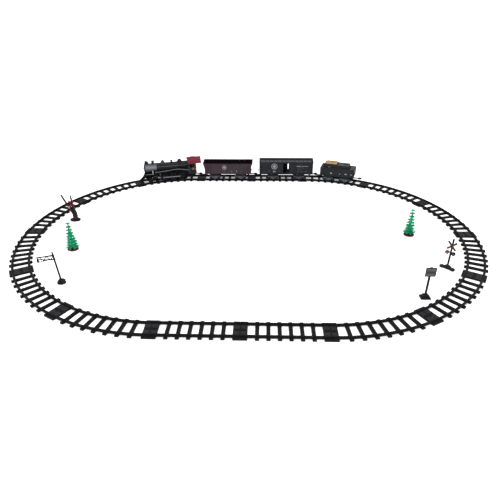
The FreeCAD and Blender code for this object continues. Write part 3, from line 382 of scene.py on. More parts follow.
BOARD_EDGE = look("plank_dark_edge", (24, 25, 25), 0.25, 0.6, 0.06)
GAP = look("board_gap_pale", (150, 130, 126), 0.15, 0.6, 0.1)
GOLDMARK = look("gold_mark", (140, 126, 98), 0.15, 0.45, 0.1, edge=0.1)
GREENMARK = look("green_mark", (34, 58, 42), 0.15, 0.5, 0.1, edge=0.1)
REDMARK = look("red_mark", (116, 48, 54), 0.15, 0.5, 0.1, edge=0.1)

along = Vector((cos(heading("driver_2_roll")), sin(heading("driver_2_roll")), 0))
middle_along = along.dot(joint_at("driver_2_roll"))
blended(BODY, (11, 12, 13), along, middle_along + 0.0452, middle_along + 0.0462)
DOMES = look("dome_black", (24, 26, 29), 0.3, 0.36, 0.14)
blended(DOMES, (66, 68, 73), along, middle_along - 0.004, middle_along - 0.012)
# Smokebox grey with painted light and shade blended in; the black top and front rim are its own paint.
SMOKEBOX_PAINTED_LIGHT = look("smokebox_grey", (46, 48, 54), 0.22, 0.3, 0.28)
# Painted highlight band across the middle of the smokebox.
blended(SMOKEBOX_PAINTED_LIGHT, (104, 106, 114), Z, 0.0400, 0.0455)
# Painted shade above the highlight band.
blended(SMOKEBOX_PAINTED_LIGHT, (44, 46, 51), Z, 0.0475, 0.0530)
# Painted shade on the underside.
blended(SMOKEBOX_PAINTED_LIGHT, (16, 17, 20), Z, 0.0400, 0.0320)
blended(SMOKEBOX_PAINTED_LIGHT, (14, 15, 17), Z, 0.0551, 0.0556)
blended(SMOKEBOX_PAINTED_LIGHT, (14, 15, 17), along, middle_along - 0.0735, middle_along - 0.0783)
SMOKE_RIVETS = look("smokebox_rivet_grey", (60, 62, 68), 0.2, 0.36, 0.3)


def dress():
    """Gives each CAD node its look, by its name or by the kind its name tells."""
    named = {
        "loco_body": BODY, "cab_roof": RED, "smokebox": SMOKEBOX_PAINTED_LIGHT, "boiler_domes": DOMES,
        "near_side_rod": ROD, "far_side_rod": ROD, "motor": STEEL, "motor_pinion": BRASS,
        "battery_cells": CELL, "hopper_body": HOPPER_LOOK, "boxcar_body": BOXGREY,
        "boxcar_roof": ROOFDARK, "boxcar_near_door": BOXGREY, "boxcar_far_door": BOXGREY,
        "tender_body": COAL, "tender_load": GOLD, "crossing_gate_base": MAST,
        "crossing_gate_arm": ARM_RED, "crossing_signal": SIGNAL_BLACK,
        "catenary_mast": SIGNAL_BLACK, "sign_post": SIGNAL_BLACK, "left_tree": GREEN,
        "right_tree": GREEN,
    }
    kinds = (("_track", TRACK), ("bogie", BOGIE), ("wheels", WHEEL), ("driver", WHEEL))
    for name, node in frame["nodes"].items():
        kind = next((finish for word, finish in kinds if word in name), CHASSIS)
        node.data.materials.clear()
        node.data.materials.append(named.get(name, kind))


dress()


# ---------------- locomotive

BOILER_Z, BOILER_R = 41.5, 13.0
ROOF_Z, ROOF_R = 41.1, 23.9
BOARD_TOP = [(-50, 34), (-10, 36.8), (4, 38.8), (20, 38.6), (46, 34.2)]


def boiler_point(x, angle, radius=BOILER_R):
    a = radians(angle)
    return Vector((x, radius * sin(a), BOILER_Z + radius * cos(a)))


def boiler_out(angle):
    a = radians(angle)
    return Vector((0, sin(a), cos(a)))


def loco_lines():
    rails, edges, deck, pipes = shapes(4, LOCO, "loco")
    for side in SIDES:
        y = side * 14.9
        rails.tube([(-42.5, side * 11.6, 46.4), (-42.3, y * 0.97, 47.6), (-41.4, y, 47.8), (-20, y, 47.8),
                    (16, y, 47.8), (43.6, y, 47.8), (44.6, y * 0.97, 47.6), (45.0, side * 11.8, 46.6)], 0.5)
        # Pale strips along the running board edges: a painted highlight.
        for (x0, z0), (x1, z1) in zip(BOARD_TOP, BOARD_TOP[1:]):
            edges.plate(side, 19.25, 0.3, ((x0, z0), (x1, z1), (x1, z1 - 1.0), (x0, z0 - 1.0)))
        # A pale strip on the front deck edge: a painted highlight.
        deck.block(-80, -47.2, side * 14.9, side * 15.25, 26.7, 27.7)
        pipes.tube([(-56.2, side * 17.2, 27.8), (-56.2, side * 17.0, 31.5), (-56.1, side * 15.4, 34.6),
                    (-56.0, side * 12.4, 37.4)], 0.6)
        pipes.turned((-56.2, side * 17.2, 27.7), Z, [(1.0, 0), (1.0, 0.4), (0.6, 0.7)], 10)
    piece("boiler_handrails", rails, WIRE)
    piece("running_board_highlights", edges, EDGE_HIGHLIGHT)
    piece("front_deck_highlights", deck, EDGE_HIGHLIGHT, bevel=0.1)
    piece("steam_pipes", pipes, PIPE)


def loco_boiler_fittings():
    panels, trim, pipes = shapes(3, LOCO, "loco")
    for side in SIDES:
        a0, a1 = sorted((side * 69, side * 101))
        panels.arch(15.5, 45.2, 13.8, 0.35, BOILER_Z, a0, a1, 10)
        for x in (15.9, 44.8):
            trim.arch(x - 0.4, x + 0.4, 14.1, 0.25, BOILER_Z, a0, a1, 8)
        for k in range(8):
            for angle in (72, 97):
                trim.rivet(boiler_point(18 + 3.6 * k, side * angle, 14.15), boiler_out(side * angle), 0.32)
        for x, start in ((-29.5, 22), (-22.5, 22), (25.5, 25)):
            path = [boiler_point(x, side * a, BOILER_R + (1.2 if x < 14 else 1.9))
                    for a in range(start, 96, 8)]
            pipes.tube(path, 0.42, 6)
        for x in (18, 26, 34, 42):
            pipes.turned(boiler_point(x, side * 34, 13.6), boiler_out(side * 34),
                         [(0.9, 0), (0.9, 0.5), (0.6, 0.5), (0.55, 1.0), (0, 1.05)], 6)
        for band in (-43.2, -34.3, -13.3, 8.7):
            for angle in (62, 118):
                pipes.rivet(boiler_point(band, side * angle, 13.35), boiler_out(side * angle), 0.4)
    for k in range(13):
        angle = -84 + 14 * k
        trim.rivet(boiler_point(15.0, angle, 13.65), boiler_out(angle), 0.35)
        trim.rivet(boiler_point(44.4, angle, 13.65), boiler_out(angle), 0.35)
    knob, beads = Shape(LOCO, "switch_knob"), Shape(LOCO, "loco")
    knob.turned((-1, 0, 57.6), Z, [(2.0, 0), (3.0, 0.5), (3.1, 2.4), (2.5, 3.2), (0, 3.4)], 18)
    for k in range(12):
        a = radians(30 * k)
        knob.tube([(-1 + 3.05 * cos(a), 3.05 * sin(a), z) for z in (58.2, 60.2)], 0.3, 6)
    piece("power_knob_cap", knob, CHASSIS)
    for x, r, top in ((-26.0, 4.6, 62.5), (22.0, 5.5, 63.0)):
        beads.ring((x, 0, 55.2), Z, r - 0.2, r + 1.5, 0.9, 26)
        beads.ring((x, 0, top - r - 0.5), Z, r - 0.2, r + 0.5, 0.8, 26)
    piece("dome_beads", beads, DOMES)
    piece("firebox_panels", panels, CHASSIS)
    piece("firebox_trim", trim, BLACK)
    piece("boiler_pipes", pipes, BLACK)


def loco_cab():
    frames, rails, band, ribs, marks = shapes(5, LOCO, "loco")
    green, red, fittings, glass = shapes(4, LOCO, "loco")
    wall = 19.5
    for side in SIDES:
        near, far = side * 19.4, side * 19.85
        for x in (50.0, 59.0):
            for x0, x1, z0, z1 in ((x - 0.7, x, 39.3, 49.7), (x + 6, x + 6.7, 39.3, 49.7),
                                   (x, x + 6, 49.0, 49.7), (x, x + 6, 39.3, 40.0)):
                frames.block(x0, x1, near, far, z0, z1)
            frames.block(x + 2.8, x + 3.2, side * 18.6, side * 19.2, 40, 49)
        frames.block(46.2, 67.8, near, far, 21.0, 21.8)
        for z in (51.0, 30.5):
            frames.row(side, 47.0, 67.0, wall, z, 12, 0.3)
        rails.staple((68.1, side * 18.7, 26), (68.1, side * 18.7, 44), (1.3, 0, 0), 0.4)
        rails.staple((46.6, side * wall, 26), (46.6, side * wall, 44), (0, side * 1.2, 0), 0.35)
        # A dark red strip under the eaves: painted shade and painted reflection of the red roof.
        band.block(45.9, 67.9, side * 19.45, side * 19.95, 51.6, 52.5)
        marks.plate(side, wall, 0.18,
                    ((55.6, 33.6), (57.0, 33.6), (59.0, 35.4), (61.2, 33.2), (62.2, 34.2), (59.2, 37.6)))
        marks.block(55.0, 64.6, side * wall, side * 19.66, 38.2, 38.7)
        green.plate(side, wall, 0.16, ((50.6, 33.6), (54.2, 33.6), (54.2, 37.4), (50.6, 37.4)))
        red.plate(side, wall, 0.16, ((62.8, 33.4), (65.4, 33.4), (65.4, 37.0), (61.2, 37.0)))
    for x in (45.2, 51.2, 69.2, 81.6):
        ribs.arch(x - 0.45, x + 0.45, ROOF_R - 0.05, 0.3, ROOF_Z, -60.5, 60.5, 28)
    for x in (48.2, 75.4):
        for k in range(13):
            a = radians(-54 + 9 * k)
            ribs.rivet((x, ROOF_R * sin(a), ROOF_Z + ROOF_R * cos(a)),
                       (0, sin(a), cos(a)), 0.32)
    ribs.block(54.2, 65.8, -3.9, 3.9, 65.5, 65.9)
    ribs.staple((57.5, 0, 65.8), (62.5, 0, 65.8), (0, 0, 0.9), 0.3)
    # A dark red arch on the cab front under the roof: painted reflection of the red roof and painted shade
    # under it.
    band.arch(45.6, 46.05, 19.4, 2.6, ROOF_Z, -64, 64, 24)
    for y, z, r in ((-5.0, 50.5, 1.9), (1.0, 52.0, 1.6), (6.2, 50.0, 1.9)):
        fittings.turned((47.3, y, z), X, [(r, 0), (r, 1.0), (r * 0.85, 1.3), (r * 0.8, 1.1), (0, 1.1)], 14)
        glass.turned((48.4, y, z), X, [(r * 0.78, 0), (r * 0.6, 0.15), (0, 0.2)], 14)
    fittings.block(47.3, 48.4, -4.0, 4.0, 33.6, 39.4)
    fittings.block(48.4, 48.8, -3.2, -0.1, 34.4, 38.6)
    fittings.block(48.4, 48.8, 0.1, 3.2, 34.4, 38.6)
    fittings.tube([(47.3, 0, 46.4), (49.6, 0, 46.6), (51.4, -5.6, 47.8)], [0.6, 0.5, 0.45], 8)
    fittings.tube([(47.4, 9.5, 33), (48.6, 9.6, 38), (48.4, 9.2, 46), (47.4, 8.0, 50)], 0.45, 8)
    fittings.block(50, 56, -16.5, -10.5, 31.4, 36.5)
    fittings.block(50, 56, 10.5, 16.5, 31.4, 36.5)
    piece("cab_window_frames", frames, BLACK, bevel=0.08)
    piece("cab_handrails", rails, WIRE)
    piece("cab_painted_roof_reflection", band, ROOF_REFLECTION_AND_SHADE)
    piece("cab_roof_ribs", ribs, RED)
    piece("cab_gold_marks", marks, GOLDMARK)
    piece("cab_green_marks", green, GREENMARK)
    piece("cab_red_marks", red, REDMARK)
    piece("cab_fittings", fittings, CHASSIS)
    piece("gauge_faces", glass, LENS_PALE)


def loco_front():
    rivets, rim, lens, door = shapes(4, LOCO, "smokebox_cap")
    for x in (-77.0, -61.4, -45.6):
        for k in range(26):
            angle = 360 * k / 26
            rivets.rivet(boiler_point(x, angle, 13.3), boiler_out(angle), 0.36)
    for k in range(20):
        angle = 18 * k
        a = radians(angle)
        rivets.rivet((-78.55, 12.0 * sin(a), BOILER_Z + 12.0 * cos(a)), -X, 0.36)
    rim.ring((-77.9, 0, BOILER_Z), -X, 12.7, 13.55, 0.9, 32)
    rim.ring((-54, 0, 60.6), Z, 3.2, 5.0, 1.3, 24)
    rim.ring((-54, 0, 55.9), Z, 3.0, 3.9, 0.9, 22)
    rim.ring((-76.5, 0, 58.4), -X, 2.1, 2.9, 0.6, 22)
    rim.block(-71.6, -70.4, -0.6, 0.6, 60.8, 61.8)
    rim.loops([[Vector((x, y, z)) for y, z in
                ((-w, 55.2), (w, 55.2), (w, 60.6), (w - 1.3, 62.2), (1.3 - w, 62.2), (-w, 60.6))]
               for x, w in ((-76.6, 3.1), (-76.2, 3.4), (-70.0, 3.4), (-69.4, 3.0))])
    rim.ring((-67.4, 0, 58.1), X, 1.4, 3.3, 0.7, 22)
    rim.turned((-54, 0, 53.2), Z, [(6.0, -0.4), (5.6, 0.4), (4.7, 1.3), (4.3, 2.2)], 22)
    lens.turned((-76.5, 0, 58.4), -X, [(2.1, -0.1), (2.1, 0.15), (1.5, 0.5), (0, 0.65)], 18)
    for z in (37.5, 45.5):
        door.turned((-79.5, -9.8, z - 1.1), Z, [(0.8, 0), (0.8, 2.2)], 10)
        door.rivets((-80.5, -6.5, z), (-80.5, 0.5, z), 4, -X, 0.3)
    door.ring((-79.7, 0, BOILER_Z), -X, 2.1, 3.1, 0.7, 20)
    door.tube([(-81.7, 0, BOILER_Z), (-81.9, 2.6, BOILER_Z - 1.6)], [0.45, 0.3], 8)
    door.tube([(-81.4, 0, BOILER_Z), (-81.6, -0.9, BOILER_Z + 2.9)], [0.45, 0.3], 8)
    piece("smokebox_rivets", rivets, SMOKE_RIVETS)
    piece("smokebox_rims", rim, BLACK)
    piece("headlamp_lens", lens, LENS_PALE)
    piece("smokebox_door_fittings", door, BLACK)
    beam, pilot_and_shade_covers = shapes(2, LOCO, "loco")
    beam.rivets((-76.2, -16.2, 26.4), (-76.2, -16.2, 21.0), 2, -X)
    for z in (21.2, 26.2):
        beam.rivets((-80.05, -15.8, z), (-80.05, 15.8, z), 12, -X, 0.34)
    beam.block(-81.2, -80, -4.2, 4.2, 22.0, 25.2)
    for side in SIDES:
        beam.staple((-80.0, side * 12.2, 22.8), (-80.0, side * 7.0, 22.8), (-1.3, 0, 0), 0.35)
        pilot_and_shade_covers.tube([(-79.2, side * 15.2, 19.6), (-86.2, side * 15.3, 9.0)], 0.55, 6)
        pilot_and_shade_covers.tube([(-80.5, side * 9.4, 28.0), (-79.4, side * 9.4, 31.0), (-76.5, side * 7.6, 34.0)], 0.5, 8)
        pilot_and_shade_covers.block(-75.9, -47.2, side * 9.4, side * 10.2, 18.6, 23.9)
        # Dark blocks under the front stand partly for a deeper chassis and partly for painted shade under
        # the loco, hiding the floor seen between the wheels.
        pilot_and_shade_covers.block(-59.0, -44.0, side * 3.4, side * 10.6, 5.2, 18.4)
        pilot_and_shade_covers.block(-44.0, -36.1, side * 4.2, side * 11.4, 5.2, 14.4)
        pilot_and_shade_covers.block(-62.0, -47.6, side * 9.0, side * 14.6, 27.7, 31.0)
    piece("buffer_beam_fittings", beam, BLACK)
    # A dark cover under the drivers: partly a deeper chassis and partly painted shade under the loco.
    shade_cover_outline = ((-35.8, -11.3), (40.0, -11.3), (41.5, -9.8), (41.5, 9.8), (40.0, 11.3), (-35.8, 11.3))
    pilot_and_shade_covers.slab([(x, y, 5.2) for x, y in shade_cover_outline], (0, 0, 1.8))
    for side in SIDES:
        pilot_and_shade_covers.block(-35.6, 39.8, side * 9.6, side * 11.2, 6.9, 11.2)
    for x in (-30, -11.5, 11.5, 34):
        pilot_and_shade_covers.ring((x, 0, 5.25), -Z, 0.8, 1.9, 0.35, 16)
    piece("pilot_braces_and_shade_covers", pilot_and_shade_covers, CHASSIS)
    swing, axle = joint_at("leading_truck_swing"), joint_at("leading_axle_roll")
    truck_turn = atan2(swing.y - axle.y, swing.x - axle.x)
    reach = (swing - axle).to_2d().length / MM
    frame_side = ((-11.5, 10.4), (-6, 8.4), (6, 8.4), (11.5, 10.4), (11.5, 14.4), (6.5, 16.8), (-6.5, 16.8),
                  (-11.5, 14.4))
    truck = Shape(place(swing.x, swing.y, truck_turn), "leading_truck")
    for side in SIDES:
        truck.plate(side, 11.0, 0.8, [(x - reach, z) for x, z in frame_side])
        truck.block(-reach - 2.4, -reach + 2.4, side * 9.4, side * 11.1, 11.0, 16.6)
        truck.row(side, -reach - 8, -reach + 8, 11.7, 12.6, 5, 0.45)
    piece("leading_truck_frames", truck, CHASSIS, bevel=0.1)


def valve_gear():
    """Fixed cylinder covers, guides, links and hangers; only the low crosshead is bright."""
    gear, dark, mid = shapes(3, LOCO, "loco")
    cylinder_y, cylinder_z = 15.6, 18.6
    for side in SIDES:
        out = Y * side
        for x, way in ((-54.5, -X), (-44.0, X)):
            mid.turned((x, side * cylinder_y, cylinder_z), way,
                       [(4.7, -0.1), (4.7, 0.35), (4.2, 0.6), (2.2, 0.7), (1.6, 1.3), (0, 1.4)], 20)
            for k in range(8):
                a = radians(45 * k + 22)
                spot = Vector((x, side * cylinder_y + 3.5 * sin(a), cylinder_z + 3.5 * cos(a)))
                dark.rivet(spot + way * 0.55, way, 0.34)
        mid.block(-53.2, -45.3, side * 19.7, side * 20.2, 16.4, 17.3)
        mid.block(-53.2, -45.3, side * 19.7, side * 20.2, 20.6, 21.5)
        mid.row(side, -52.4, -46.0, 20.0, 18.9, 6, 0.5)
        mid.plate(side, 20.2, 0.35, [(-44, 20.7), (-35.2, 20.7), (-35.2, 21.7), (-44, 21.7)])
        gear.plate(side, 20.4, 0.5,
                   [(-43.4, 16.2), (-35.4, 15.2), (-35.0, 18.2), (-36.2, 19.6), (-42.6, 19.6),
                    (-43.6, 18.2)])
        dark.plate(side, 20.9, 0.5,
                   [(-38.6, 11.6), (-37.4, 11.6), (-37.0, 16.8), (-37.2, 25.4), (-38.8, 25.4),
                    (-39.0, 16.8)])
        dark.plate(side, 19.9, 0.6, [(-44.5, 24.5), (-8.5, 25.3), (-8.5, 26.4), (-44.5, 25.7)])
        dark.plate(side, 20.0, 0.9,
                   [(-9.6, 23.9), (-7.6, 23.7), (-6.9, 27.2), (-7.4, 31.4), (-9.4, 31.4), (-8.9, 27.2)])
        dark.plate(side, 19.6, 0.5, [(-8.6, 28.2), (13.5, 29.9), (13.5, 30.9), (-8.6, 29.4)])
        for shape, x, z, y in ((gear, -38, 16.75, 20.9), (dark, -38, 25.0, 21.3), (dark, -8.3, 26.0, 20.7),
                               (dark, 13, 30.3, 20.1), (dark, -38, 12.2, 21.3)):
            shape.turned((x, side * y, z), out, [(0.95, -0.2), (0.95, 0.3), (0.6, 0.55), (0, 0.6)], 12)
        dark.block(-10.4, -6.4, side * 17.6, side * 20.0, 30.6, 34.6)
        dark.block(-36.4, -34.8, side * 17.6, side * 20.2, 20.4, 33.8)
        dark.tube([(13, side * 19.3, 30.3), (26, side * 19.3, 31.6), (46, side * 18.9, 32.4)], 0.45, 6)
        reservoir = [(0, 0), (2.0, 0.3), (2.6, 1.2), (2.6, 19.8), (2.0, 20.7), (0, 21)]
        dark.turned((21, side * 16.4, 28.0), X, reservoir, 18)
        for x in (25, 37):
            dark.block(x - 0.4, x + 0.4, side * 13.6, side * 19.1, 25.2, 31.2)
    piece("crossheads", gear, ROD, bevel=0.1)
    piece("cylinder_covers", mid, COVER, bevel=0.06)
    piece("valve_gear", dark, CHASSIS, bevel=0.1)


def rod_details():
    """Raised edges and caps on the side rods, which ride with them."""
    for side, body in ((-1, "near_rod"), (1, "far_rod")):
        trim = Shape(LOCO, body)
        shift, z = side * 4.0, 16.75
        for x in (-23, 0, 23):
            trim.ring((x + shift, side * 20.1, z), Y * side, 1.75, 2.45, 0.35, 20)
            if x < 23:
                trim.block(x + shift + 3.2, x + shift + 19.8, side * 20.0, side * 20.3, z + 0.45, z + 1.0)
                trim.block(x + shift + 3.2, x + shift + 19.8, side * 20.0, side * 20.3, z - 1.0, z - 0.45)
        piece(f"{body}_trim", trim, ROD)


# ---------------- marks and brake wheels


def roundel(shape, x, y, z, r, side):
    """A generic ring and diamond mark."""
    shape.ring((x, y, z), Y * side, r * 0.8, r, 0.14, 36)
    shape.slab([(x + dx * r * 0.62, y, z + dz * r * 0.62) for dx, dz in ((1, 0), (0, 1), (-1, 0), (0, -1))],
               (0, side * 0.14, 0))


def spokes(shape, hub, reach, first, radius):
    """Three bars through a brake wheel's hub, the first at an angle in degrees."""
    for k in range(3):
        a = radians(60 * k + first)
        tip = Vector((0, cos(a), sin(a))) * reach
        shape.tube([hub - tip, hub + tip], radius, 6)


def bars(shape, y, side, rows):
    """Plain bars for where small printing would be."""
    for x0, x1, z, height in rows:
        shape.block(x0, x1, y, y + side * 0.14, z, z + height)


def mirrored(side, rows):
    """Rows of bars as read on the near side, turned round for the far side."""
    return [(-side * x0, -side * x1, z, height) for x0, x1, z, height in rows]


# ---------------- hopper


def hopper():
    trim, irons, mark, faint, inner = shapes(5, HOPPER, "hopper")
    for side in SIDES:
        trim.row(side, -69.5, 69.5, 20.98, 52.0, 47, 0.34)
        trim.row(side, -64.5, 64.5, 20.98, 23.2, 44, 0.34)
        for x0 in (-61.0, 56.0):
            for z in (27, 31.5, 36, 40.5, 45):
                irons.staple((x0, side * 20.1, z), (x0 + 5.0, side * 20.1, z), (0, side * 1.3, 0), 0.33)
        face = side * 20.92
        roundel(mark, -9.5, face, 42.0, 6.5, side)
        bars(faint, face, side,
             [(-38, -35, 32.5, 1.6), (-38.4, -34.8, 28.6, 1.0), (-28.4, -24.6, 28.4, 1.2),
              (-13.6, -5.8, 31.2, 1.0), (-13, -6.4, 28.4, 0.8), (9.6, 13.4, 31.6, 1.8),
              (8.6, 14.2, 28.6, 0.9), (36.4, 38.6, 29.6, 2.4)])
        bars(mark, face, side, [(24.6, 26.6, 29.4, 3.4), (10.4, 12.8, 30.0, 1.0)])
        # A dark lining on the inner walls, ribs and top rims: painted shade inside the open hopper.
        for x in range(-54, 55, 12):
            inner.block(x - 0.6, x + 0.6, side * 18.7, side * 17.9, 25, 50.5)
        inner.plate(side, 18.78, -0.3, ((-64.6, 24.7), (64.6, 24.7), (64.6, 36.5), (68.8, 52.95),
                                        (-68.8, 52.95), (-64.6, 36.5)))
        inner.block(-71.4, 71.4, side * 18.5, side * 20.6, 53.0, 53.12)
    for end in SIDES:
        for z in (28, 32, 36):
            irons.staple((end * 66.6, -10.5, z), (end * 66.6, -3.5, z), (end * 1.2, 0, 0), 0.33)
        trim.rivets((end * 71.5, -19, 52.0), (end * 71.5, 19, 52.0), 13, X * end, 0.34)
        # The ends of the painted shade lining.
        inner.slab([(end * 64.88, -18.7, 24.7), (end * 64.88, 18.7, 24.7), (end * 64.88, 18.7, 36.3),
                    (end * 64.88, -18.7, 36.3)], (end * -0.3, 0, 0))
        inner.slab([(end * 64.88, -18.7, 36.3), (end * 64.88, 18.7, 36.3), (end * 69.08, 18.7, 52.95),
                    (end * 69.08, -18.7, 52.95)], (end * -0.3, 0, 0))
        inner.block(end * 69.2, end * 71.4, -18.5, 18.5, 53.0, 53.12)
    inner.block(-64.8, 64.8, -18.7, 18.7, 24.55, 24.85)
    irons.ring((69.4, -12.5, 33.0), X, 2.6, 3.2, 0.6, 22)
    spokes(irons, Vector((69.7, -12.5, 33)), 2.9, 0, 0.3)
    irons.tube([(66.4, -12.5, 33), (70.2, -12.5, 33)], 0.55, 8)
    piece("hopper_rivets", trim, BROWN)
    piece("hopper_grab_irons", irons, CHASSIS)
    piece("hopper_marks", mark, MARK)
    piece("hopper_faint_marks", faint, FAINT)
    piece("hopper_painted_shade_lining", inner, HOPPER_SHADE_LINING)


# ---------------- boxcar


def boxcar():
    trim, irons, mark, faint, strips, walk = shapes(6, BOXCAR, "boxcar")
    for side in SIDES:
        for x0, x1 in ((-75.4, -30), (30, 75.4)):
            trim.row(side, x0, x1, 20.0, 54.2, 23, 0.3)
            trim.row(side, x0, x1, 20.7, 22.6, 23, 0.3)
        for x0 in (-74.8, 69.6):
            for z in (27, 32, 37, 42, 47):
                irons.staple((x0, side * 19.9, z), (x0 + 5.0, side * 19.9, z), (0, side * 1.2, 0), 0.33)
        face = side * 20.2
        roundel(mark, side * 34.0, face, 45.5, 8.4, side)
        mark.block(side * 34 - 0.9, side * 34 + 0.9, face, side * 20.34, 38.6, 40.4)
        bars(mark, face, side, mirrored(side, (
            (-38.4, -30.0, 30.8, 1.2), (-38.0, -30.6, 28.6, 1.2), (29.4, 42.0, 45.6, 1.5),
            (44.6, 49.2, 45.6, 1.5), (51.4, 61.6, 45.6, 1.3))))
        bars(faint, face, side, mirrored(side, (
            (29.6, 36.2, 41.0, 1.1), (37.4, 50.0, 41.0, 1.1), (33.0, 43.0, 36.6, 0.9),
            (31.0, 35.0, 30.2, 1.6), (40.6, 46.6, 30.2, 1.6), (54.0, 59.6, 30.2, 1.6),
            (-52, -46, 30.6, 1.3), (-20.6, -17.0, 30.4, 1.4))))
        for k in range(12):
            x0, x1 = -71.2 + 12 * k, -60.8 + 12 * k
            strips.slab([(x0, side * 16.2, 57.98), (x1, side * 16.2, 57.98), (x1, side * 9.6, 59.63),
                         (x0, side * 9.6, 59.63)], (0, 0, 0.16))
    for end in SIDES:
        for z in (28, 33, 38, 43, 48):
            irons.staple((end * 76.5, 14.2, z), (end * 76.5, 18.4, z), (end * 1.3, 0, 0), 0.33)
        trim.rivets((end * 76.5, -18.5, 54.4), (end * 76.5, 18.5, 54.4), 12, X * end, 0.3)
        walk.block(end * 76.3, end * 77.5, -3.4, 3.4, 59.4, 61.4)
    for y in (-2.3, 0.0, 2.3):
        for k in range(5):
            walk.block(-76.2 + 30.5 * k, -46.0 + 30.5 * k, y - 1.05, y + 1.05, 62.9, 63.3)
    for x in range(-66, 67, 12):
        walk.block(x - 0.5, x + 0.5, -4.4, 4.4, 61.2, 62.5)
    wheel = Shape(BOXCAR, "boxcar")
    wheel.ring((-80.0, -8, 31), -X, 2.9, 3.7, 0.5, 24)
    spokes(wheel, Vector((-80.1, -8, 31)), 3.2, 15, 0.35)
    wheel.turned((-79.9, -8, 31), -X, [(0.9, 0), (0.9, 0.5), (0.5, 0.8), (0, 0.85)], 12)
    piece("boxcar_rivets", trim, BOXGREY)
    piece("boxcar_grab_irons", irons, CHASSIS)
    piece("boxcar_marks", mark, MARK)
    piece("boxcar_faint_marks", faint, FAINT)
    piece("boxcar_roof_strips", strips, STRIP)
    piece("boxcar_roof_walk", walk, ROOFDARK, bevel=0.08)
    piece("boxcar_brake_wheel", wheel, WIRE)
    for name, x, side in (("near_door", 18.6, -1), ("far_door", -3.6, 1)):
        fittings = Shape(BOXCAR, name)
        bolt = [(0.9, -0.2), (0.9, 0.15), (0.5, 0.3), (0, 0.32)]
        y = side * 21.45
        for dx in (-7.2, 7.2):
            for z in (25.2, 52.6):
                fittings.turned((x + dx, y, z), Y * side, bolt, 12)
        for z in (28, 31, 38, 41, 47.5, 50.5):
            fittings.row(side, x - 8.8, x + 8.8, 21.4, z, 2, 0.3)
        fittings.slab([(x + dx, side * 21.05, z) for dx, z in
                       ((-7.6, 26.2), (-6.4, 26.2), (7.6, 33.6), (7.6, 34.4), (6.4, 34.4), (-7.6, 27.2))],
                      (0, side * 0.3, 0))
        piece(f"boxcar_{name}_fittings", fittings, BOXGREY)


# ---------------- tender


def tender():
    trim, irons, mark, gold, plates, hatch = shapes(6, TENDER, "tender")
    wall = 19.2
    for side in SIDES:
        out = Y * side
        trim.row(side, -46.5, 46.5, wall, 40.8, 40, 0.3)
        trim.row(side, -46.5, 46.5, wall, 24.2, 40, 0.3)
        for x in (-31, -15.5, 0, 15.5, 31):
            trim.rivets((x, side * wall, 26), (x, side * wall, 39), 7, out, 0.3)
        trim.row(side, -31, 30, 14.5, 50.6, 26, 0.3)
        for x in (-46.8, 46.8):
            irons.staple((x, side * wall, 25), (x, side * wall, 38), (0, side * 1.2, 0), 0.35)
        rows = [(-17.4, -13.4, 27.8, 3.4), (22.4, 28.0, 29.0, 3.0), (38.6, 43.0, 29.4, 2.2)]
        bars(mark, side * 19.22, side, rows)
        bars(gold, side * 19.22, side, [(-18.6, -17.4, 27.0, 5.4), (7.4, 9.4, 28.0, 3.0)])
        bars(gold, side * 14.52, side, [(-25.5, -20.6, 45.4, 1.6)])
        plates.block(-46.6, 46.4, side * 15.0, side * 18.0, 43.4, 43.7)
        plates.rivets((1.5, side * 12.6, 52.7), (28.4, side * 12.6, 52.7), 12, Z, 0.34)
    plates.block(0.2, 29.4, -13.4, 13.4, 52.4, 52.75)
    plates.block(33.5, 46.4, -14.6, 14.6, 43.4, 43.7)
    hatch.ring((22, 0, 53.6), Z, 3.2, 4.3, 0.6, 26)
    hatch.staple((20.3, 0, 53.7), (23.7, 0, 53.7), (0, 0, 1.2), 0.35)
    hatch.block(25.6, 27.4, -1.4, 1.4, 52.6, 53.9)
    hatch.turned((10, 6, 52.6), Z, [(1.7, 0), (1.7, 0.8), (1.2, 1.1), (0, 1.2)], 14)
    for y in (-1, 1):
        hatch.block(32.6, 35.6, y * 7.4, y * 9.8, 43.6, 46.8)
    hatch.staple((40.5, -16.4, 43.7), (45.5, -16.4, 43.7), (0, 0, 1.6), 0.4)
    irons.staple((48.0, -8.5, 33), (48.0, 4.0, 33), (1.1, 0, 0), 0.35)
    irons.turned((48.0, -15.6, 31.5), X, [(2.2, -0.1), (2.2, 0.9), (1.4, 1.4), (0, 1.5)], 18)
    tank = Shape(TENDER, "tender")
    barrel = [(0, 0), (6.0, 0.3), (7.0, 1.2), (7.0, 14.0), (6.0, 14.9), (0, 15.2)]
    tank.turned((-7.6, 0, 14.6), X, barrel, 28)
    tank.block(-6.6, 6.6, -12.4, 12.4, 12.0, 21.2)
    for x in (-4.4, 4.4):
        tank.block(x - 0.5, x + 0.5, -12.8, 12.8, 11.6, 21.2)
    piece("tender_tank", tank, CHASSIS, bevel=0.12)
    piece("tender_rivets", trim, COAL)
    piece("tender_grab_irons", irons, CHASSIS)
    piece("tender_marks", mark, MARK)
    piece("tender_gold_marks", gold, GOLDMARK)
    piece("tender_deck_plates", plates, PLATE)
    piece("tender_hatch", hatch, COAL)
    rim = Shape(TENDER, "tender")
    for side in SIDES:
        rim.block(-37.5, -1.3, side * 12.5, side * 14.6, 53.7, 54.35)
    for x0, x1 in ((-37.5, -36.3), (-3.1, -1.3)):
        rim.block(x0, x1, -12.5, 12.5, 53.7, 54.35)
    piece("bunker_coaming", rim, CHASSIS, bevel=0.1)


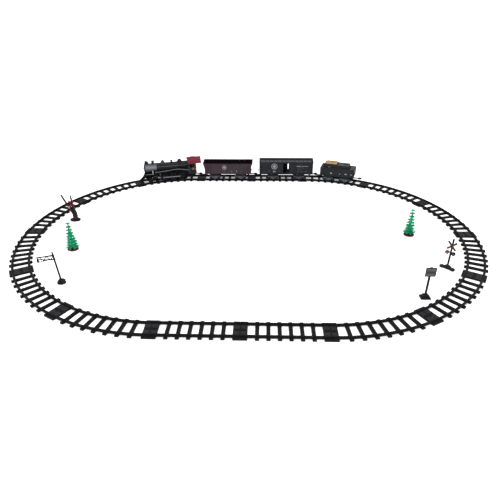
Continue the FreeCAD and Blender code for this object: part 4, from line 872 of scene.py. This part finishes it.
def tender_heap():
    """The load: steep dark sides under a lumpy ochre top with a pale rim."""
    rng = random.Random(11)
    crust, top, rim = shapes(3, TENDER, "tender")
    crust.stack(((-36.2, -3.2, 12.4, 46.1), (-36.2, -3.2, 12.4, 54.3), (-35.4, -4.0, 11.6, 54.9)))
    nx, ny = 30, 24
    length, width = 31.4, 23.2
    points, faces = [], []
    for i in range(nx + 1):
        for j in range(ny + 1):
            u, v = i / nx, j / ny
            inner = min(u * length, (1 - u) * length, v * width, (1 - v) * width)
            share = min(1.0, inner / 3.4)
            lift = 0.0 if inner == 0 else 2.5 * sin(share * pi / 2) + rng.uniform(-0.3, 0.3)
            jitter = 0.0 if inner == 0 else 0.22
            points.append((-35.4 + length * u + rng.uniform(-jitter, jitter),
                           -11.6 + width * v + rng.uniform(-jitter, jitter), 54.85 + lift))
    for i in range(nx):
        for j in range(ny):
            a = i * (ny + 1) + j
            faces.append([a, a + 1, a + ny + 2, a + ny + 1])
    top.add(points, faces)
    for _ in range(60):
        x, y, r = rng.uniform(-32.0, -7.4), rng.uniform(-8.4, 8.4), rng.uniform(0.7, 1.2)
        waist = [(r * s * rng.uniform(0.85, 1.1), h * r * 0.5) for s, h in ((0.9, 0), (0.7, 0.7))]
        lean = (rng.uniform(-0.3, 0.3), rng.uniform(-0.3, 0.3), 1)
        top.turned((x, y, 57.3), lean, [(0, -r * 0.3)] + waist + [(0, r * 0.5)], 6)
    for a, b in (((-35.4, -11.6), (-4.0, -11.6)), ((-4.0, -11.6), (-4.0, 11.6))):
        rim.tube([(*a, 55.0), (*b, 55.0)], 0.6, 8)
    heap = piece("tender_load_sides", crust, EARTH, bevel=0.3)
    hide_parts("tender_load")
    piece("tender_load_top", top, GOLD, sharp=25)
    piece("tender_load_rim", rim, RIM)


# ---------------- bogies


def bogies():
    """Lighter truss bars, bolts and spring plates on every bogie's outer faces."""
    braces = (((1.6, 9.2), (7.6, 15.9)), ((7.6, 9.8), (2.0, 15.9)), ((7.4, 15.9), (15.0, 14.8)))
    cap = [(2.3, 0), (1.9, 0.3), (0.8, 0.35), (0.7, 0.7), (0, 0.75)]
    for vehicle, depth in (("hopper", 2.3), ("boxcar", 2.3), ("tender", 1.3)):
        for end in ("front", "rear"):
            name = f"{vehicle}_{end}"
            spot = joint_at(f"{name}_bogie_swivel")
            here = place(spot.x, spot.y, heading(f"{name}_wheels_1_roll"))
            truss, caps = shapes(2, here, f"{name}_bogie_body")
            for side in SIDES:
                for way in SIDES:
                    for a, b in braces:
                        dx, dz = b[0] - a[0], b[1] - a[1]
                        off = 0.55 / hypot(dx, dz)
                        ring = [(a[0] - dz * off, a[1] + dx * off), (b[0] - dz * off, b[1] + dx * off),
                                (b[0] + dz * off, b[1] - dx * off), (a[0] + dz * off, a[1] - dx * off)]
                        truss.plate(side, 20.55, 0.4, [(way * x, z) for x, z in ring])
                    x = way * 10.0
                    caps.turned((x, side * 21.05, 12.25), Y * side, cap, 16)
                    for dz in (-1.7, 1.7):
                        caps.rivet((x + way * 2.9, side * 20.6, 12.25 + dz), Y * side, 0.36)
                truss.block(-2.6, 2.6, side * 20.55, side * 21.6, 13.4, 14.3)
                truss.block(-3.0, 3.0, side * 20.55, side * 21.6, 8.4, 9.3)
                for x in (-1.3, 1.3):
                    for k in range(4):
                        truss.ring((x, side * 20.6, 9.5 + 1.0 * k), Z, 0.8, 1.15, 0.4, 12)
            skirt, bearer = Shape(here, f"{name}_bogie_body"), Shape(here, vehicle)
            for side in SIDES:
                skirt.plate(side, 18.4, 0.7, ((-15.0, 16.0), (15.0, 16.0), (13.4, 18.2), (9.0, 19.3),
                                              (-9.0, 19.3), (-13.4, 18.2)))
                for x in (-11, -5.5, 0, 5.5, 11):
                    skirt.rivet((x, side * 19.1, 17.4), Y * side, 0.4)
            bearer.block(-15.4, 15.4, -18.3, 18.3, 19.8, 19.8 + depth)
            piece(f"{name}_bogie_skirt", skirt, BOGIE)
            piece(f"{name}_bearer", bearer, CHASSIS, bevel=0.1)
            piece(f"{name}_bogie_truss", truss, TRUSS)
            piece(f"{name}_bogie_caps", caps, BOGIE)


# ---------------- track


CURVE_R, SECTION, SLEEPER_PITCH = 345.0, 148.0, 18.5
RAILS = (-15.75, 15.75)
STRAIGHTS = (("far", CURVE_R), ("near", -CURVE_R))
CURVES = (("right", SECTION, -90.0), ("left", -SECTION, 90.0))


def laid(x, y, turn):
    """Finds points given along, across and above the track's middle line at one spot."""
    c, s = cos(turn), sin(turn)
    return lambda u, v, z: (x + c * u - s * v, y + s * u + c * v, z)


def chair(shape, x, y, turn):
    """Two rail chairs with spikes for each rail on one sleeper."""
    at = laid(x, y, turn)
    spike = [(0.6, 0), (0.55, 0.3), (0.25, 0.5), (0, 0.52)]
    for rail in RAILS:
        for way in SIDES:
            v = rail + way * 3.4
            foot = [at(du, v + dv, 3.55) for du, dv in ((-1.5, -1.0), (1.5, -1.0), (1.5, 1.0), (-1.5, 1.0))]
            shape.slab(foot, (0, 0, 0.6))
            shape.turned(at(0, v, 4.1), Z, spike, 7)


def web(shape, path):
    """A deep strip under one rail, along points that each carry a way across."""
    half, low, high = 0.85, 0.5, 4.3
    shape.loops([[Vector((x + ux * d, y + uy * d, z)) for d, z in
                  ((-half, low), (half, low), (half, high), (-half, high))] for x, y, ux, uy in path])


def plates(shape, x, y, turn):
    """The pale plates, rings and button where two sections join."""
    at = laid(x, y, turn)
    for way in SIDES:
        for a, b in ((-13.2, -3.4), (3.4, 13.2)):
            outline = [at(way * u, v, 3.6) for u, v in ((0.9, a), (10.8, a), (10.8, b), (0.9, b))]
            shape.slab(outline, (0, 0, 0.16))
        for u, v in ((3.2, -9.0), (7.8, -9.0), (5.5, 8.2)):
            shape.ring(at(way * u, v, 3.72), Z, 1.0, 1.6, 0.35, 16)
    shape.turned(at(0, 8.4, 3.7), Z, [(1.9, 0), (1.7, 0.35), (0, 0.45)], 14)


def track_chairs():
    for name, y in STRAIGHTS:
        chairs = Shape(GROUND, "track")
        for start in (-SECTION, 0.0):
            for k in range(1, 7):
                chair(chairs, start + (k + 0.5) * SLEEPER_PITCH, y, 0.0)
        piece(f"{name}_straight_chairs", chairs, TRACK)
    for side, centre, first in CURVES:
        for k in range(3):
            chairs = Shape(GROUND, "track")
            for half in range(2):
                for t in range(1, 8):
                    angle = radians(first + 60 * k + 30 * half + (t + 0.5) * 30 / 9)
                    chair(chairs, centre + CURVE_R * cos(angle), CURVE_R * sin(angle), angle - pi / 2)
            piece(f"{side}_curve_chairs_{k + 1}", chairs, TRACK)


def rail_webs():
    """Webs between the sleepers on every section, and plates at every join."""
    joins = Shape(GROUND, "track")
    for name, y in STRAIGHTS:
        webs = Shape(GROUND, "track")
        for start in (-SECTION, 0.0):
            for rail in RAILS:
                web(webs, [(x, y + rail, 0, 1) for x in (start + 0.3, start + 147.7)])
        piece(f"{name}_straight_webs", webs, TRACK)
        for x in (-SECTION, 0.0, SECTION):
            plates(joins, x, y, 0.0)
    for side, centre, first in CURVES:
        for k in range(3):
            webs = Shape(GROUND, "track")
            for half in range(2):
                for rail in RAILS:
                    path = []
                    for t in range(11):
                        a = radians(first + 60 * k + 30 * half + 0.05 + 29.9 * t / 10)
                        r = CURVE_R + rail
                        path.append((centre + r * cos(a), r * sin(a), cos(a), sin(a)))
                    web(webs, path)
            piece(f"{side}_curve_webs_{k + 1}", webs, TRACK)
        for k in range(1, 6):
            a = radians(first + 30 * k)
            plates(joins, centre + CURVE_R * cos(a), CURVE_R * sin(a), a - pi / 2)
    piece("joining_plates", joins, JOIN)


# ---------------- trackside


def fir(name, node, height, spread, seed):
    """A moulded fir: a lumpy foot, a trunk and whorls of needled branches."""
    rng = random.Random(seed)
    here = place(*node_middle(node))
    foot, needles = shapes(2, here, "track")
    rings = []
    for r, z in ((11.6, 0.0), (11.9, 1.0), (11.0, 2.4), (9.2, 3.5), (5.6, 4.3), (2.4, 5.0)):
        rings.append([Vector((r * cos(a) * (1 + 0.05 * sin(3 * a + seed)),
                              r * sin(a) * (1 - 0.05 * sin(2 * a)),
                              z * (1 + (0.16 * sin(5 * a + seed) if z > 1 else 0)))) for a in turns(22)])
    foot.loops(rings)
    trunk = [(0, 0, z) for z in (4, height * 0.5, height - 9, height)]
    needles.tube(trunk, [2.3, 1.7, 1.1, 0.15], 8)
    lowest, rise = 8.2, height - 16.2
    branches = (12, 11, 10, 9, 8, 7, 7, 6)
    for k, count in enumerate(branches):
        share = k / (len(branches) - 1)
        z = lowest + rise * share
        reach = spread * (1 - 0.66 * share) * (0.9 if k % 2 else 1.0)
        for j in range(count):
            a = 2 * pi * (j + 0.5 * (k % 2)) / count + rng.uniform(-0.14, 0.14)
            out = Vector((cos(a), sin(a), 0))
            long = reach * rng.uniform(0.8, 1.0)
            droop = rng.uniform(0.08, 0.2)

            def along_branch(t):
                return out * (long * t) + Z * (z + 1.6 * (1 - t) - long * droop * t + 1.6 * t * t * t)

            needles.tube([along_branch(t) for t in (0.0, 0.35, 0.7, 1.0)], [1.5, 1.35, 1.05, 0.35], 6)
            across = Z.cross(out)
            for t in (0.35, 0.5, 0.64, 0.78, 0.92):
                root = along_branch(t)
                size = (3.9 - 1.9 * t) * (0.62 + 0.38 * (1 - share)) * rng.uniform(0.8, 1.2)
                for way in (across, -across, Z):
                    length = size * (0.5 if abs(way.z) > 0.5 else 1.0)
                    tip = root + (way * 0.85 + out * 0.62).normalized() * length
                    needles.tube([root, tip], [0.8, 0.22], 4)
    piece(f"{name}_foot", foot, FOOT)
    made = piece(f"{name}_branches", needles, GREEN, sharp=50)
    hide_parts(node)


def crossbuck_boards(shape, z, half, width, y, grow=0.35):
    """Thin boards over both arms of a crossbuck, front and rims."""
    for turn in (45, -45):
        a = radians(turn)
        c, s = cos(a), sin(a)
        w, h = width / 2 + grow, half + grow
        ring = [(u * c + v * s, y, z + v * c - u * s) for u, v in ((-h, -w), (h, -w), (h, w), (-h, w))]
        shape.slab(ring, (0, 0.5, 0))


def lamp_parts(ring, lens, x, y, z, r):
    ring.ring((x, y + 0.4, z), -Y, r * 0.72, r + 0.35, 0.8, 22)
    ring.turned((x, y + 2.0, z), -Y, [(r + 1.15, -0.5), (r + 1.15, 0), (r + 0.4, 0.2)], 22)
    if lens:
        lens.turned((x, y + 0.3, z), -Y, [(r * 0.8, -0.1), (r * 0.72, 0.3), (r * 0.4, 0.6), (0, 0.7)], 18)


def gate():
    boards, hoods, red, green, trim = shapes(5, GATE, "track")
    lamp_z = 34.5
    crossbuck_boards(boards, 45.5, 9.0, 3.2, -2.85)
    lamp_parts(hoods, green, 5.0, -3.4, lamp_z, 2.4)
    lamp_parts(hoods, red, -5.0, -3.4, lamp_z, 2.4)
    trim.block(-3.8, 6.8, -3.25, 3.25, 17.6, 18.4)
    trim.stack(((-3.6, 6.4, 3.05, 18.2), (-3.4, 5.2, 2.9, 24.0), (-2.8, 3.0, 2.5, 30.5),
                (-2.2, 2.2, 2.0, 33.4)))
    trim.tube([(0, 0, 32.5), (0, 0, 58.0)], 1.9, 14)
    for x in (-2.2, 5.2):
        trim.rivets((x, -3.05, 5.5), (x, -3.05, 16), 3, -Y, 0.4)
    trim.turned((0, 0, 3.4), Z, [(3.6, 0), (3.2, 0.8), (2.2, 1.6)], 16)
    trim.ring((0, 0, 57.5), Z, 1.5, 2.3, 0.9, 16)
    trim.ring((0, 0, 28.5), Z, 1.5, 2.3, 0.9, 16)
    piece("gate_crossbuck", boards, CROSS_RED, bevel=0.12)
    piece("gate_lamp_hoods", hoods, SIGNAL_BLACK)
    piece("gate_lens_red", red, LENS_RED)
    piece("gate_lens_green", green, LENS_GREEN)
    piece("gate_trim", trim, MAST)
    base = Shape(GATE, "track")
    rings = []
    for rx, ry, z in ((12.5, 8.5, 0.05), (12.5, 8.5, 3.2), (12.1, 8.1, 3.75), (9.6, 6.0, 3.9)):
        rings.append([Vector((rx * cos(a), ry * sin(a), z)) for a in turns(40)])
    base.loops(rings)
    piece("gate_base_cover", base, SIGNAL_BLACK)
    hinge = joint_at("gate_arm_swing")
    here = Matrix.Translation((hinge.x, node_middle("crossing_gate_base")[1], hinge.z)) @ GROUND
    pale, dark = shapes(2, here, "gate_arm")
    angle_at_rest = 68.0
    lean = radians(angle_at_rest - 90.0)
    c, s = cos(lean), sin(lean)
    for k in range(9):
        z0, z1 = 3.6 + 6.1 * k, 3.6 + 6.1 * (k + 1)
        w0, w1 = 2.2 - 0.004 * z0, 2.2 - 0.004 * z1
        ring = []
        for u, v in ((-w0, z0), (w0, z0), (w1, z1), (-w1, z1)):
            ring.append((u * c + v * s, -5.74, v * c - u * s))
        (pale if k == 3 else dark).slab(ring, (0, 1.48, 0))
    piece("gate_arm_pale_stripes", pale, ARM_PALE)
    piece("gate_arm_red_stripes", dark, ARM_RED)


def crossing_signal():
    boards, hoods, red, green, trim = shapes(5, SIGNAL, "track")
    lamp_z = 36.9
    crossbuck_boards(boards, 52.5, 11.5, 3.4, -2.65)
    lamp_parts(hoods, green, 6.2, -3.6, lamp_z, 2.8)
    lamp_parts(red, None, -6.2, -3.6, lamp_z, 2.8)
    red.ring((-6.2, -3.3, lamp_z), -Y, 1.6, 3.9, 0.8, 24)
    hoods.ring((6.2, -3.3, lamp_z), -Y, 1.9, 3.9, 0.8, 24)
    pale = Shape(SIGNAL, "track")
    pale.turned((-6.2, -3.5, lamp_z), -Y, [(1.0, -0.1), (0.9, 0.6), (0.5, 0.85), (0, 0.9)], 18)
    post = [(3.2, 0), (2.8, 1.2), (2.0, 2.6), (1.9, 27.0), (1.75, 59.6), (1.3, 61.0)]
    button = [(5.05, -1.0), (4.9, 0.25), (3.8, 0.5), (1.4, 0.55), (1.2, 0.9), (0, 0.95)]
    trim.turned((0, 0, 6.2), Z, post, 18)
    trim.stack(((-8.2, 8.2, 3.3, 3.1), (-6.8, 6.8, 3.2, 4.6), (-3.6, 3.6, 2.9, 7.4), (-2.6, 2.6, 2.3, 8.0)))
    trim.ring((0, 0, 44.5), Z, 1.4, 2.1, 0.9, 16)
    for x in (-10.5, 10.5):
        trim.turned((x, 0, 3.0), Z, button, 24)
    piece("signal_crossbuck", boards, OLIVE, bevel=0.12)
    piece("signal_lamp_hoods", hoods, SIGNAL_BLACK)
    piece("signal_lamp_red", red, LENS_RED)
    piece("signal_lens_pale", pale, LENS_PALE)
    piece("signal_lens_green", green, LENS_GREEN)
    piece("signal_trim", trim, SIGNAL_BLACK)


def catenary():
    trim = Shape(CATENARY, "track")
    for x, z in ((-10, 51.8), (-17, 58.4), (-24, 50.6), (-31, 56.3)):
        trim.turned((x, -1.3, z), Y, [(0, 0), (1.2, 0.1), (1.4, 0.6), (1.4, 2.0), (1.2, 2.5), (0, 2.6)], 12)
    trim.tube([(-4.6, 0, 61.6), (-20.0, 0, 58.4), (-37.4, 0, 55.4)], 1.05, 10)
    trim.tube([(-3.6, 0, 53.6), (-24.0, 0, 51.2), (-35.4, 0, 52.6)], 0.8, 10)
    insulator = [(0, 0), (0.9, 0.1), (1.35, 0.5), (1.35, 1.2), (0.8, 1.7), (0, 1.8)]
    for k in range(5):
        x, z = -31.6 + 3.4 * k, 46.0 + 1.0 * k
        trim.tube([(x, 0, z + 0.6), (x + 0.3, 0, 52.0)], 0.35, 8)
        trim.turned((x, 0, z - 0.7), Z, insulator, 14)
    trim.stack(((-6.6, 6.6, 5.4, 3.9), (-6.0, 6.0, 5.0, 5.4), (-4.2, 4.2, 3.6, 8.2), (-2.2, 2.2, 2.0, 8.8)))
    for z in (46.2, 48.4, 50.6):
        trim.turned((-35.2, 0, z - 0.1), Z, [(0.9, 0), (2.1, 0.2), (2.2, 0.7), (1.0, 1.5)], 16)
    trim.tube([(-0.2, 0, 6.0), (-3.8, 0, 64.8), (-4.0, 0, 68.4)], [1.6, 1.5, 1.4], 12)
    trim.turned((-35.2, 0, 44.6), Z, [(0, 0), (0.9, 0.2), (1.1, 0.8), (0.9, 1.4)], 12)
    trim.tube([(-36.2, 0, 55.4), (-38.6, 0, 55.3)], [0.9, 0.5], 8)
    trim.turned((0, 0, 3.6), Z, [(4.4, 0), (3.6, 0.9), (2.2, 1.5)], 18)
    for x, z in ((-3.4, 60.5), (-2.9, 52.6)):
        trim.block(x - 1.6, x + 1.6, -1.7, 1.7, z - 1.1, z + 1.1)
    piece("catenary_fittings", trim, SIGNAL_BLACK, bevel=0.08)


def sign():
    planks, edges, gap, step = shapes(4, SIGN, "track")
    for z0, z1 in ((47.5, 55.4), (56.8, 65.0)):
        for x0, x1, a, b in ((-9.3, 9.3, z0 - 0.1, z0 + 0.9), (-9.3, 9.3, z1 - 0.9, z1 + 0.1),
                             (-9.3, -8.3, z0, z1), (8.3, 9.3, z0, z1)):
            edges.block(x0, x1, -3.0, -2.5, a, b)
        high = (z1 - z0 - 1.8) / 3
        for k in range(3):
            a = z0 + 0.9 + k * high
            planks.block(-8.3, 8.3, -2.85, -2.5, a + 0.08, a + high - 0.08)
    gap.block(-8.9, 8.9, -1.9, -1.2, 55.3, 56.9)
    step.block(-8.7, 8.7, -6.7, 6.7, 2.3, 2.6)
    step.block(-6.2, 6.2, -4.7, 4.7, 4.5, 4.8)
    step.turned((0, 0, 4.6), Z, [(2.7, 0), (2.4, 0.8), (1.7, 1.4)], 16)
    step.stack(((-5.2, 5.2, 4.0, 4.7), (-4.9, 4.9, 3.8, 7.4), (-4.2, 4.2, 3.2, 7.9), (-2.0, 2.0, 1.8, 8.2)))
    step.block(-1.75, 1.75, -1.05, 1.45, 8.0, 64.6)
    step.block(-1.6, 1.6, -2.2, -0.6, 64.9, 66.2)
    for x in (-6.6, 6.6):
        for z in (51.4, 60.8):
            edges.rivet((x, -2.85, z), -Y, 0.5)
    piece("sign_planks", planks, BOARD, bevel=0.08)
    piece("sign_edges", edges, BOARD_EDGE, bevel=0.08)
    piece("sign_gap_strip", gap, GAP, bevel=0.08)
    piece("sign_base_steps", step, SIGNAL_BLACK, bevel=0.1)


loco_lines()
loco_boiler_fittings()
loco_cab()
loco_front()
valve_gear()
rod_details()
hopper()
boxcar()
tender()
tender_heap()
bogies()
track_chairs()
rail_webs()
fir("left_fir", "left_tree", 68.6, 16.4, 3)
fir("right_fir", "right_tree", 68.2, 15.4, 8)
gate()
crossing_signal()
catenary()
sign()


# ---------------- floor, light and camera


def studio():
    floor_mesh = bpy.data.meshes.new("floor")
    reach = 40.0
    floor_mesh.from_pydata([(-reach, -reach, 0), (reach, -reach, 0), (reach, reach, 0), (-reach, reach, 0)],
                           [], [[0, 1, 2, 3]])
    floor = add_object("floor", floor_mesh)
    paint = bpy.data.materials.new("floor_white")
    paint.use_nodes = True
    shader = paint.node_tree.nodes["Principled BSDF"]
    for name, value in (("Base Color", (0.92, 0.92, 0.92, 1)), ("Roughness", 0.8),
                        ("Specular IOR Level", 0.0), ("Emission Color", (1, 1, 1, 1)),
                        ("Emission Strength", 0.25)):
        shader.inputs[name].default_value = value
    floor_mesh.materials.append(paint)

    world = bpy.data.worlds.new("studio")
    world.use_nodes = True
    world.node_tree.nodes["Background"].inputs["Color"].default_value = (1, 1, 1, 1)
    world.node_tree.nodes["Background"].inputs["Strength"].default_value = 1.0
    bpy.context.scene.world = world

    aim = Vector((0, 0.1, 0.03))
    for name, at, size, power in (("key", (-1.2, -1.4, 1.9), 1.4, 26), ("fill", (1.6, -0.9, 1.5), 1.4, 12),
                                  ("top", (0.1, 0.5, 2.2), 1.6, 16)):
        lamp = bpy.data.lights.new(name, "AREA")
        lamp.shape, lamp.size, lamp.energy = "SQUARE", size, power
        holder = add_object(name, lamp)
        holder.location = at
        holder.rotation_mode = "QUATERNION"
        holder.rotation_quaternion = (aim - Vector(at)).to_track_quat("-Z", "Y")


def camera():
    lens = bpy.data.cameras.new("camera")
    lens.lens, lens.sensor_width = 32.838, 36.0
    lens.clip_start, lens.clip_end = 0.02, 100.0
    eye = add_object("camera", lens)
    azimuth, elevation, roll = 0.03398287, 0.52384349, -0.00746144
    back = Vector((sin(azimuth) * cos(elevation), -cos(azimuth) * cos(elevation),
                   sin(elevation)))
    right = (-back).cross(Z).normalized()
    up = right.cross(-back)
    c, s = cos(roll), sin(roll)
    right, up = right * c + up * s, up * c - right * s
    turn = Matrix((right, up, back)).transposed()
    eye.matrix_world = Matrix.Translation((0.03681, -0.92741, 0.49223)) @ turn.to_4x4()
    bpy.context.scene.camera = eye


studio()
camera()
bpy.context.scene.view_settings.view_transform = "Standard"

bpy.context.view_layer.update()
